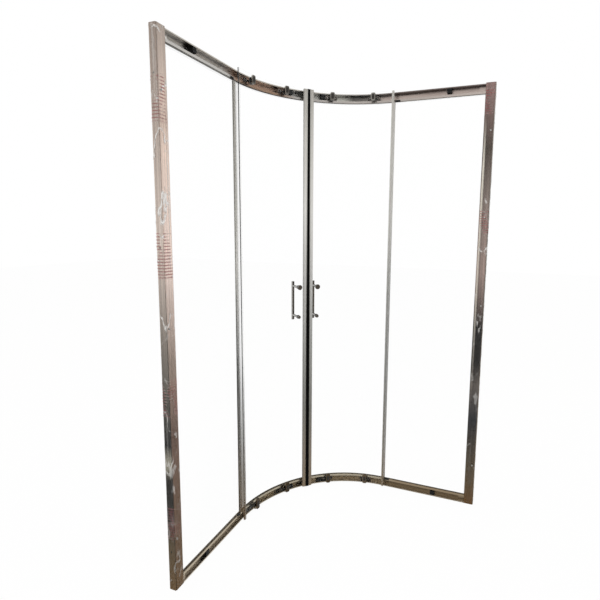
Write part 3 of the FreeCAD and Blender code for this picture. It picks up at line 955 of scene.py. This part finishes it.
        # Painted light from the floor up: brown and dark near the floor, brightest above mid-height; meeting is the
        # magnet carriers'.
        left = (
            (0.0, (0.24, 0.17, 0.10)), (0.08, (0.25, 0.20, 0.145)), (0.20, (0.24, 0.23, 0.21)),
            (0.33, (0.21, 0.21, 0.20)), (0.42, (0.42, 0.42, 0.41)), (0.60, (0.80, 0.79, 0.76)),
            (0.72, (0.66, 0.65, 0.61)), (1.0, (0.50, 0.48, 0.44)),
        )
        right = (
            (0.0, (0.34, 0.25, 0.15)), (0.10, (0.34, 0.31, 0.26)), (0.30, (0.38, 0.38, 0.36)),
            (0.50, (0.50, 0.50, 0.48)), (0.70, (0.88, 0.87, 0.83)), (1.0, (0.80, 0.78, 0.73)),
        )
        meeting = (
            (0.0, (0.26, 0.19, 0.11)), (0.08, (0.27, 0.22, 0.165)), (0.22, (0.23, 0.225, 0.20)),
            (0.40, (0.42, 0.42, 0.40)), (0.58, (0.66, 0.65, 0.63)), (0.72, (0.88, 0.87, 0.84)),
            (0.88, (0.72, 0.70, 0.66)), (1.0, (0.50, 0.48, 0.44)),
        )
        return {
            "seal": Seal("seal_milky", left, alpha=0.94, clear_from=0.0288),
            "seal_right": Seal("seal_milky_right", right, alpha=0.90),
            "trailing": Seal("seal_clear", left, alpha=0.06, gloss=0.2, strength=0.9, alpha_low=0.65),
            "trailing_right": Seal("seal_clear_right", right, alpha=0.60, strength=0.9),
            "carrier": Seal("carrier_grey", meeting, alpha=0.93),
        }

    @staticmethod
    def mouldings() -> dict[str, Finish]:
        """Plastics and rubbers of the magnets, rollers, clips and washers."""
        return {
            "magnet": Polymer("magnet_black", grey(0.001), grey(0.003), streak=(120.0, 120.0, 0.8), rough=(0.4, 0.6),
                              gloss=0.03, jacket=((0.02, 0.018, 0.015), (0.55, 0.54, 0.51))),
            "rubber": Polymer("gasket_rubber", grey(0.02), grey(0.04), gloss=0.2),
            "truck": Polymer("truck_plastic", (0.020, 0.017, 0.015), (0.040, 0.035, 0.030), gloss=0.25),
            "tyre": Polymer("wheel_nylon", (0.035, 0.026, 0.022), (0.075, 0.056, 0.048), rough=(0.3, 0.5), gloss=0.25),
            "black": Polymer("black_plastic", grey(0.006), grey(0.014), gloss=0.15),
        }


def dress(node: str, finish: Material) -> None:
    """Give a rigid piece of the frame its finish.

    Args:
        node: the piece's name.
        finish: its material.
    """
    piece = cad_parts[node]
    for holder in piece.material_slots:
        holder.link = "OBJECT"
        holder.material = finish
    LOG.info("finish %s on %s", finish.name, node)


def piece_of(name: str, shape: bmesh.types.BMesh, finish: Material, smooth: bool = True) -> bpy.types.Object:
    """Turn built geometry into a piece at the origin.

    Args:
        name: the piece's name.
        shape: its geometry, which is freed.
        finish: its material.
        smooth: whether its faces are shaded smooth.

    Returns:
        The new object.
    """
    bmesh.ops.recalc_face_normals(shape, faces=shape.faces)
    for face in shape.faces:
        face.smooth = smooth
    data = bpy.data.meshes.new(name)
    shape.to_mesh(data)
    shape.free()
    data.materials.append(finish)
    piece = bpy.data.objects.new(name, data)
    bpy.context.scene.collection.objects.link(piece)
    LOG.info("piece %s", name)
    return piece


class Grower:
    """A node tree with named inputs, whose result is realised, coated and kept as a plain mesh."""

    def __init__(self, name: str, **inputs: str) -> None:
        """Open the tree.

        Args:
            name: the tree's name.
            inputs: the names and socket types of its inputs, next to its geometry and finish.
        """
        self.tree = bpy.data.node_groups.new(name, "GeometryNodeTree")
        face = self.tree.interface
        face.new_socket("Geometry", in_out="INPUT", socket_type="NodeSocketGeometry")
        self.keys: dict[str, str] = {}
        for label, kind in {**inputs, "Finish": "NodeSocketMaterial"}.items():
            self.keys[label] = face.new_socket(label, in_out="INPUT", socket_type=kind).identifier
        face.new_socket("Geometry", in_out="OUTPUT", socket_type="NodeSocketGeometry")
        self.source = self.add("NodeGroupInput").outputs

    def add(self, kind: str) -> bpy.types.Node:
        """Add a node."""
        return self.tree.nodes.new(kind)

    def join(self, source: Socket, target: Socket) -> None:
        """Link two sockets."""
        self.tree.links.new(source, target)

    def close(self, result: Socket) -> None:
        """Realise a result, coat it and send it out.

        Args:
            result: the geometry that the tree has made.
        """
        real = self.add("GeometryNodeRealizeInstances")
        coat = self.add("GeometryNodeSetMaterial")
        target = self.add("NodeGroupOutput")
        self.join(result, real.inputs["Geometry"])
        self.join(real.outputs["Geometry"], coat.inputs["Geometry"])
        self.join(self.source["Finish"], coat.inputs["Material"])
        self.join(coat.outputs["Geometry"], target.inputs["Geometry"])

    def grow(self, name: str, base: bpy.types.Mesh, **values: object) -> bpy.types.Object:
        """Run the tree and keep what it makes.

        Args:
            name: the new piece's name.
            base: the points or paths that it starts from, which are removed.
            values: the values of its inputs.

        Returns:
            The new piece, with its place in its mesh.
        """
        piece = bpy.data.objects.new(name, base)
        bpy.context.scene.collection.objects.link(piece)
        modifier = piece.modifiers.new("grow", "NODES")
        modifier.node_group = self.tree
        for label, value in values.items():
            modifier[self.keys[label]] = value
        bpy.context.view_layer.update()
        done = piece.evaluated_get(bpy.context.evaluated_depsgraph_get())
        solid = bpy.data.meshes.new_from_object(done)
        piece.modifiers.remove(modifier)
        piece.data = solid
        solid.name = name
        for polygon in solid.polygons:
            polygon.use_smooth = True
        bpy.data.meshes.remove(base)
        LOG.info("piece %s", name)
        return piece


class Repeater(Grower):
    """A node tree that sets one shape on many points."""

    def __init__(self) -> None:
        """Build the tree with its named inputs."""
        super().__init__("repeat_on_points", Shape="NodeSocketObject", Size="NodeSocketFloat")
        info = self.add("GeometryNodeObjectInfo")
        turn = self.add("GeometryNodeInputNamedAttribute")
        turn.data_type = "FLOAT_VECTOR"
        turn.inputs["Name"].default_value = "turn"
        euler = self.add("FunctionNodeEulerToRotation")
        setter = self.add("GeometryNodeInstanceOnPoints")
        self.join(self.source["Geometry"], setter.inputs["Points"])
        self.join(self.source["Shape"], info.inputs["Object"])
        self.join(info.outputs["Geometry"], setter.inputs["Instance"])
        self.join(turn.outputs["Attribute"], euler.inputs["Euler"])
        self.join(euler.outputs["Rotation"], setter.inputs["Rotation"])
        self.join(self.source["Size"], setter.inputs["Scale"])
        self.close(setter.outputs["Instances"])

    def spread(
        self, name: str, shape: bpy.types.Object, places: Sequence[tuple[Vector, Matrix]], finish: Material
    ) -> bpy.types.Object:
        """Set a shape on places and make one plain mesh of it.

        Args:
            name: the new piece's name.
            shape: the shape that is repeated, about its own origin.
            places: position and rotation of each copy.
            finish: the material of all copies.

        Returns:
            The new piece, with its place in its mesh.
        """
        base = bpy.data.meshes.new(name + "_points")
        base.from_pydata([tuple(p) for p, _ in places], [], [])
        turn = base.attributes.new("turn", "FLOAT_VECTOR", "POINT")
        for holder, (_, rotation) in zip(turn.data, places):
            holder.vector = rotation.to_euler()
        return self.grow(name, base, Shape=shape, Size=1.0, Finish=finish)


class Sweeper(Grower):
    """A node tree that draws a round bead along a path."""

    SIDES = 10

    def __init__(self) -> None:
        """Build the tree with its named inputs."""
        super().__init__("bead_on_path", Radius="NodeSocketFloat")
        curve = self.add("GeometryNodeMeshToCurve")
        ring = self.add("GeometryNodeCurvePrimitiveCircle")
        ring.inputs["Resolution"].default_value = self.SIDES
        tube = self.add("GeometryNodeCurveToMesh")
        tube.inputs["Fill Caps"].default_value = True
        self.join(self.source["Geometry"], curve.inputs["Mesh"])
        self.join(self.source["Radius"], ring.inputs["Radius"])
        self.join(curve.outputs["Curve"], tube.inputs["Curve"])
        self.join(ring.outputs["Curve"], tube.inputs["Profile Curve"])
        self.close(tube.outputs["Mesh"])

    def draw(
        self, name: str, paths: Iterable[Sequence[Vector]], radius: float, finish: Material
    ) -> bpy.types.Object:
        """Draw beads along paths and make one plain mesh of them.

        Args:
            name: the new piece's name.
            paths: the points of each bead.
            radius: the bead's radius.
            finish: its material.

        Returns:
            The new piece, with its place in its mesh.
        """
        points: list[Point] = []
        edges: list[tuple[int, int]] = []
        for path in paths:
            start = len(points)
            points += [tuple(p) for p in path]
            edges += [(start + i, start + i + 1) for i in range(len(path) - 1)]
        base = bpy.data.meshes.new(name + "_path")
        base.from_pydata(points, edges, [])
        return self.grow(name, base, Radius=radius, Finish=finish)


@dataclass
class WallPost:
    """One wall post: the wall profile, the jamb and the film that it is wrapped in."""

    side: Side
    width: float = PLAN.post
    depth: float = 0.030
    slack: float = 0.0005
    gauge: float = 0.0001
    trim: float = 0.0015
    fold: float = 0.002
    swell: float = 0.0004
    crease_rise: float = 0.0011
    crease_from: float = 0.86
    swell_pace: tuple[float, float] = (3.0, 5.0)
    crease_pace: tuple[float, float] = (7.0, 14.0)
    crease_slant: tuple[float, float] = (9.0, 5.0)
    seed_left: float = 3.0
    seed_right: float = 11.0
    steps: tuple[int, ...] = (16, 3, 14, 3, 16)
    rows: int = 320
    rise: Reach = (0.003, 1.947)

    def build(self, finishes: Finishes) -> None:
        """Dress the post and wrap it.

        Args:
            finishes: the cabin's finishes.
        """
        left = self.side is Side.LEFT
        dress(f"{self.side.value}_jamb", finishes.left_post if left else finishes.right_post)
        dress(f"{self.side.value}_wall_profile", finishes.left_profile if left else finishes.profile)
        film = self.film(finishes.film if left else finishes.film_right)
        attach(film, "frame")

    def film(self, finish: Material) -> bpy.types.Object:
        """The wrinkled film over the three outer faces.

        Args:
            finish: the film's material.

        Returns:
            The film.
        """
        near, far = -self.slack, self.depth + self.slack
        end = self.width - self.trim
        turns = [
            (far, end), (far, self.fold), (self.depth - self.trim, near),
            (self.trim, near), (near, self.fold), (near, end),
        ]
        path: list[tuple[float, float, float, float]] = []
        for (t0, d0), (t1, d1), count in zip(turns, turns[1:], self.steps):
            run = math.hypot(t1 - t0, d1 - d0)
            out = ((d0 - d1) / run, (t1 - t0) / run)
            for i in range(count):
                k = i / count
                path.append((t0 + (t1 - t0) * k, d0 + (d1 - d0) * k, *out))
        path.append((*turns[-1], -1.0, 0.0))
        shape = bmesh.new()
        seed = self.seed_left if self.side is Side.LEFT else self.seed_right
        grid: list[list[bmesh.types.BMVert]] = []
        for j in range(self.rows + 1):
            z = self.rise[0] + (self.rise[1] - self.rise[0]) * j / self.rows
            line = []
            for i, (t, d, nt, nd) in enumerate(path):
                lift = self.crease(i / len(path), z, seed)
                line.append(shape.verts.new(PLAN.wall(d + nd * lift, t + nt * lift, z, self.side)))
            grid.append(line)
        for low, high in zip(grid, grid[1:]):
            for a, b, c, d in zip(low, low[1:], high[1:], high):
                shape.faces.new((a, b, c, d))
        bmesh.ops.recalc_face_normals(shape, faces=shape.faces)
        bmesh.ops.solidify(shape, geom=shape.faces[:], thickness=self.gauge)
        # The rim's faces come in another order in each run, so all faces are put in order of place.
        for place, face in enumerate(sorted(shape.faces, key=lambda face: tuple(face.calc_center_median()))):
            face.index = place
        shape.faces.sort()
        return piece_of(f"{self.side.value}_film", shape, finish)

    def crease(self, along: float, z: float, seed: float) -> float:
        """How far the film stands off the post.

        Args:
            along: share of the way round the post.
            z: height.
            seed: offset of the pattern.

        Returns:
            The lift in metres.
        """
        round_pace, up_pace = self.swell_pace
        wide = noise.noise(Vector((along * round_pace + seed, z * up_pace, seed)))
        round_pace, up_pace = self.crease_pace
        up_slant, round_slant = self.crease_slant
        spot = Vector((along * round_pace + z * up_slant, z * up_pace - along * round_slant, seed * 2.0))
        sharp = 1.0 - abs(noise.noise(spot))
        ridge = max(0.0, sharp - self.crease_from) / (1.0 - self.crease_from)
        return self.swell * max(0.0, wide) + self.crease_rise * ridge


@dataclass
class Rails:
    """The two bent rails with their stops and screws."""

    def build(self, finishes: Finishes) -> None:
        """Dress the rails and what is fixed in them.

        Args:
            finishes: the cabin's finishes.
        """
        dress("top_rail", finishes.rail_top)
        dress("bottom_rail", finishes.rail_bottom)
        dress("rail_stops", finishes.black)
        dress("glass_clips", finishes.black)
        dress("rail_screws", finishes.steel)
        dress("jamb_screws", finishes.steel)


@dataclass
class FixedPane:
    """One flat fixed pane with its edge seal and the beads that hold it."""

    side: Side
    start: float = 0.0424
    end: float = 0.4385
    low: float = 0.0424
    high: float = 1.9036
    faces: Reach = (0.0218, 0.0272)
    bead: float = 0.0007

    def build(self, finishes: Finishes, sweeper: Sweeper) -> None:
        """Dress the pane and draw its beads.

        Args:
            finishes: the cabin's finishes.
            sweeper: the bead maker.
        """
        dress(f"{self.side.value}_fixed_glass", finishes.flat_glass)
        dress(f"{self.side.value}_fixed_seal", finishes.seal if self.side is Side.LEFT else finishes.seal_right)
        paths = []
        for t in self.faces:
            corners = ((self.end, self.low), (self.start, self.low), (self.start, self.high), (self.end, self.high))
            paths.append([PLAN.wall(d, t, z, self.side) for d, z in corners])
        beads = sweeper.draw(f"{self.side.value}_glazing_beads", paths, self.bead, finishes.seal)
        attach(beads, "frame")


@dataclass
class Door:
    """One curved door with its seals, handle, hangers and rollers."""

    side: Side
    axle: float = 0.021
    pitch: float = 0.018
    cap_face: float = 0.0595
    inlay_lift: float = 0.0003
    cap_low_mid: float = 0.037
    cap_top_mid: float = 0.0185
    hub_face: float = 0.0283
    rivet_face: float = 0.0318
    places: tuple[Place, ...] = (Place.TRAILING, Place.LEADING)
    body: str = field(init=False)

    def __post_init__(self) -> None:
        """Name the body that the door's pieces ride on."""
        self.body = f"{self.side.value}_door"

    def build(self, finishes: Finishes, repeater: Repeater, shapes: "SmallShapes") -> None:
        """Dress the door and add its small parts.

        Args:
            finishes: the cabin's finishes.
            repeater: sets shapes on places.
            shapes: the small shapes that are repeated.
        """
        s = self.side.value
        for node, finish in (
            ("door_glass", finishes.bent_glass), ("magnet_strip", finishes.magnet),
            ("magnet_carrier", finishes.carrier),
            ("trailing_seal", finishes.trailing if self.side is Side.LEFT else finishes.trailing_right),
            ("handle_bar", finishes.chrome), ("handle_posts", finishes.chrome),
            ("handle_knobs", finishes.chrome), ("hangers", finishes.hanger), ("hanger_caps", finishes.cap),
            ("hanger_bolts", finishes.steel), ("glass_gaskets", finishes.rubber),
        ):
            dress(f"{s}_{node}", finish)
        spots = []
        for place in self.places:
            for level in Level:
                mid = self.cap_low_mid if level is Level.BOTTOM else self.cap_top_mid
                spots.append(self.seat(place, self.cap_face + self.inlay_lift, mid, level))
        inlays = repeater.spread(f"{s}_cap_inlays", shapes.inlay, spots, finishes.truck)
        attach(inlays, self.body)
        for place in self.places:
            for level in Level:
                self.rollers(place, level, finishes, repeater, shapes)

    def rollers(
        self, place: Place, level: Level, finishes: Finishes, repeater: Repeater, shapes: "SmallShapes"
    ) -> None:
        """Dress one truck and its wheels.

        Args:
            place: trailing or leading.
            level: bottom or top.
            finishes: the cabin's finishes.
            repeater: sets shapes on places.
            shapes: the small shapes that are repeated.
        """
        name = f"{self.side.value}_{place.name.lower()}_{level.value}"
        dress(f"{name}_truck", finishes.truck)
        ends = [self.seat(place, self.rivet_face, self.axle, level, a) for a in (-self.pitch, self.pitch)]
        rivets = repeater.spread(f"{name}_rivets", shapes.rivet, ends, finishes.hanger)
        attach(rivets, f"{name}_truck")
        for spot, a in (("front", self.pitch), ("rear", -self.pitch)):
            dress(f"{name}_{spot}_wheel", finishes.tyre)
            seat = self.seat(place, self.hub_face, self.axle, level, a)
            hub = repeater.spread(f"{name}_{spot}_hub", shapes.hub, [seat], finishes.rim)
            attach(hub, f"{name}_{spot}_wheel")

    def seat(self, place: Place, depth: float, w: float, level: Level, along: float = 0.0) -> tuple[Vector, Matrix]:
        """Place and turn of a small part: its Z axis points inward and its Y axis up.

        Args:
            place: trailing or leading.
            depth: distance inward from the outline.
            w: height over the lower end, or depth under the upper end.
            level: bottom or top.
            along: distance along the tangent.

        Returns:
            Position and rotation.
        """
        z = w if level is Level.BOTTOM else PLAN.rail_top - w
        spot = PLAN.spot(place.value, depth, z, self.side, along)
        inward = PLAN.inward(place.value, self.side)
        up = Vector((0.0, 0.0, 1.0 if level is Level.BOTTOM else -1.0))
        side = up.cross(inward)
        turn = Matrix((side, up, inward)).transposed()
        return spot, turn


@dataclass
class SmallShapes:
    """The small shapes that repeat on the doors, each about its own origin with Z outward."""

    rivet_profile: Shares = ((0.0, 0.0011), (0.0014, 0.0010), (0.0025, 0.0006), (0.0031, 0.0), (0.0031, -0.0002))
    hub_profile: Shares = ((0.0076, -0.0003), (0.0078, 0.0003), (0.0084, 0.0004), (0.0090, 0.0003), (0.0092, -0.0003))
    segments: int = 28
    pad_foot: float = -0.0004
    pad_steps: Shares = ((0.0, 0.25), (0.0007, 0.75), (0.0018, 1.0))
    pad_corner: float = 0.0008
    pad_turns: int = 6
    ribs: int = 3
    rib_pitch: float = 0.2
    rib_length: float = 1.3
    rib_width: float = 0.0007
    rib_height: float = 0.0008
    inlay: Optional[bpy.types.Object] = None
    rivet: Optional[bpy.types.Object] = None
    hub: Optional[bpy.types.Object] = None

    def build(self, finishes: Finishes) -> None:
        """Make the shapes.

        Args:
            finishes: the cabin's finishes.
        """
        self.inlay = self.pad("inlay_shape", finishes.truck, half_x=0.0062, half_y=0.0115, corner=0.004, rise=0.0009)
        self.rivet = self.turned("rivet_shape", self.rivet_profile, finishes.chrome)
        self.hub = self.turned("hub_shape", self.hub_profile, finishes.rim, ring=True)

    def clear(self) -> None:
        """Remove the shapes once they have been repeated."""
        for shape in (self.inlay, self.rivet, self.hub):
            bpy.data.objects.remove(shape, do_unlink=True)

    def turned(self, name: str, profile: Shares, finish: Material, ring: bool = False) -> bpy.types.Object:
        """Turned shape about Z.

        Args:
            name: the shape's name.
            profile: radius and height points from the inside out.
            finish: its material.
            ring: whether it is open in the middle, with its ends joined.

        Returns:
            The shape.
        """
        shape = bmesh.new()
        count = self.segments
        turns = [2 * math.pi * i / count for i in range(count)]
        rows = []
        for radius, z in profile:
            if radius == 0.0:
                rows.append([shape.verts.new((0.0, 0.0, z))] * count)
            else:
                rows.append([shape.verts.new((radius * math.cos(a), radius * math.sin(a), z)) for a in turns])
        pairs = list(zip(rows, rows[1:]))
        if ring:
            pairs.append((rows[-1], rows[0]))
        for first, second in pairs:
            for i in range(count):
                k = (i + 1) % count
                corners = list(dict.fromkeys((first[i], second[i], second[k], first[k])))
                shape.faces.new(corners)
        if not ring:
            shape.faces.new(rows[-1])
        return piece_of(name, shape, finish)

    def pad(
        self, name: str, finish: Material, half_x: float, half_y: float, corner: float, rise: float
    ) -> bpy.types.Object:
        """Low crowned pad with round corners and grip ribs.

        Args:
            name: the shape's name.
            finish: its material.
            half_x: half its width.
            half_y: half its height.
            corner: corner radius.
            rise: height of its crown.

        Returns:
            The shape.
        """
        shape = bmesh.new()
        rings = []
        levels = [(0.0, self.pad_foot)] + [(inset, share * rise) for inset, share in self.pad_steps]
        for inset, z in levels:
            ring = []
            for quarter, (sx, sy) in enumerate(((1, 1), (-1, 1), (-1, -1), (1, -1))):
                r = max(corner - inset, self.pad_corner)
                cx, cy = sx * (half_x - inset - r), sy * (half_y - inset - r)
                for i in range(self.pad_turns + 1):
                    a = math.radians(90 * quarter + 90 / self.pad_turns * i)
                    ring.append(shape.verts.new((cx + r * math.cos(a), cy + r * math.sin(a), z)))
            rings.append(ring)
        for low, high in zip(rings, rings[1:]):
            for i in range(len(low)):
                k = (i + 1) % len(low)
                shape.faces.new((low[i], low[k], high[k], high[i]))
        shape.faces.new(rings[-1])
        shape.faces.new(list(reversed(rings[0])))
        for i in range(-self.ribs, self.ribs + 1):
            y = i * half_y * self.rib_pitch
            bar = bmesh.ops.create_cube(shape, size=1.0)["verts"]
            bmesh.ops.scale(shape, verts=bar, vec=(self.rib_length * half_x, self.rib_width, self.rib_height))
            bmesh.ops.translate(shape, verts=bar, vec=(0.0, y, rise))
        return piece_of(name, shape, finish, smooth=False)


@dataclass(frozen=True)
class Lamp:
    """A large soft lamp."""

    name: str
    spot: Point
    power: float
    aim: Point = (0.0, 0.0, 0.9)
    size: float = 3.0

    def hang(self) -> None:
        """Add the lamp to the scene."""
        data = bpy.data.lights.new(self.name, "AREA")
        data.shape = "DISK"
        data.size = self.size
        data.energy = self.power
        lamp = bpy.data.objects.new(self.name, data)
        lamp.location = self.spot
        lamp.rotation_euler = (Vector(self.aim) - Vector(self.spot)).to_track_quat("-Z", "Y").to_euler()
        bpy.context.scene.collection.objects.link(lamp)


@dataclass
class Studio:
    """Floor, light and camera."""

    eye: Point = (0.5813, -1.7202, 1.3197)
    yaw: float = 21.31
    pitch: float = 7.67
    roll: float = 0.60
    focus_px: float = 459.9
    centre_px: tuple[float, float] = (326.1, 290.3)
    frame_px: float = 600.0
    sensor: float = 36.0
    sight: float = 60.0
    floor_size: float = 14.0
    floor_level: float = -0.0006
    floor_tone: Colour = (0.94, 0.935, 0.93)
    floor_white: float = 0.97
    world_tone: Colour = (1.0, 0.99, 0.97)
    world_light: float = 0.7
    lamps: tuple[Lamp, ...] = (
        Lamp("key_lamp", (1.4, -1.8, 4.8), power=50.0),
        Lamp("fill_lamp", (-2.4, -1.6, 4.6), power=30.0),
    )

    def build(self) -> None:
        """Set up the whole studio."""
        self.floor()
        self.world()
        for lamp in self.lamps:
            lamp.hang()
        self.camera()
        bpy.context.scene.view_settings.view_transform = "Standard"

    @staticmethod
    def background_rays(tree: bpy.types.NodeTree) -> Socket:
        """1 for the rays that show the background: those of the camera, of gloss and through glass.

        Args:
            tree: the material's or the world's nodes.

        Returns:
            The share's socket.
        """
        path = tree.nodes.new("ShaderNodeLightPath")
        seen = path.outputs["Is Camera Ray"]
        for kind in ("Is Glossy Ray", "Is Transmission Ray"):
            either = tree.nodes.new("ShaderNodeMath")
            either.operation = "MAXIMUM"
            tree.links.new(seen, either.inputs[0])
            tree.links.new(path.outputs[kind], either.inputs[1])
            seen = either.outputs[0]
        return seen

    def floor(self) -> None:
        """Lay the pale floor, which shows white with a soft shadow."""
        shape = bmesh.new()
        bmesh.ops.create_grid(shape, x_segments=2, y_segments=2, size=self.floor_size)
        bmesh.ops.translate(shape, verts=shape.verts, vec=(0.0, 0.0, self.floor_level))
        shade = Shade("floor_pale").fix(Roughness=0.9, Base_Color=(*self.floor_tone, 1.0))
        glow = shade.add("ShaderNodeEmission")
        mix = shade.add("ShaderNodeMixShader")
        shade.join(shade.maths("MULTIPLY", self.background_rays(shade.tree), self.floor_white), mix.inputs[0])
        shade.join(shade.body.outputs["BSDF"], mix.inputs[1])
        shade.join(glow.outputs["Emission"], mix.inputs[2])
        shade.join(mix.outputs["Shader"], shade.output.inputs["Surface"])
        piece_of("floor", shape, shade.material, smooth=False)

    def world(self) -> None:
        """White where it is seen, softer where it lights."""
        world = bpy.data.worlds.new("studio")
        bpy.context.scene.world = world
        world.use_nodes = True
        tree = world.node_tree
        tree.nodes.clear()
        out = tree.nodes.new("ShaderNodeOutputWorld")
        mix = tree.nodes.new("ShaderNodeMixShader")
        tree.links.new(self.background_rays(tree), mix.inputs[0])
        for tone, strength, target in ((self.world_tone, self.world_light, mix.inputs[1]), (WHITE, 1.0, mix.inputs[2])):
            light = tree.nodes.new("ShaderNodeBackground")
            light.inputs["Color"].default_value = (*tone, 1.0)
            light.inputs["Strength"].default_value = strength
            tree.links.new(light.outputs["Background"], target)
        tree.links.new(mix.outputs["Shader"], out.inputs["Surface"])

    def camera(self) -> None:
        """Set the camera where the picture was taken."""
        y, p, r = (math.radians(v) for v in (self.yaw, self.pitch, self.roll))
        level = Vector((-math.sin(y), math.cos(y), 0.0))
        across = Vector((math.cos(y), math.sin(y), 0.0))
        ahead = level * math.cos(p) - Vector(UP) * math.sin(p)
        above = level * math.sin(p) + Vector(UP) * math.cos(p)
        right = across * math.cos(r) + above * math.sin(r)
        top = above * math.cos(r) - across * math.sin(r)
        data = bpy.data.cameras.new("picture_camera")
        data.sensor_width = self.sensor
        data.lens = self.focus_px / self.frame_px * self.sensor
        data.shift_x = (self.frame_px / 2 - self.centre_px[0]) / self.frame_px
        data.shift_y = (self.centre_px[1] - self.frame_px / 2) / self.frame_px
        data.clip_end = self.sight
        camera = bpy.data.objects.new("picture_camera", data)
        turn = Matrix((right, top, -ahead)).transposed().to_4x4()
        camera.matrix_world = Matrix.Translation(self.eye) @ turn
        bpy.context.scene.collection.objects.link(camera)
        bpy.context.scene.camera = camera


def main() -> None:
    """Build the studio, dress every piece and add the small parts."""
    logging.basicConfig(level=logging.INFO, format="%(name)s: %(message)s")
    finishes = Finishes.build()
    repeater = Repeater()
    sweeper = Sweeper()
    shapes = SmallShapes()
    shapes.build(finishes)
    Rails().build(finishes)
    for side in Side:
        WallPost(side).build(finishes)
        FixedPane(side).build(finishes, sweeper)
        Door(side).build(finishes, repeater, shapes)
    shapes.clear()
    Studio().build()


if __name__ == "__main__":
    main()
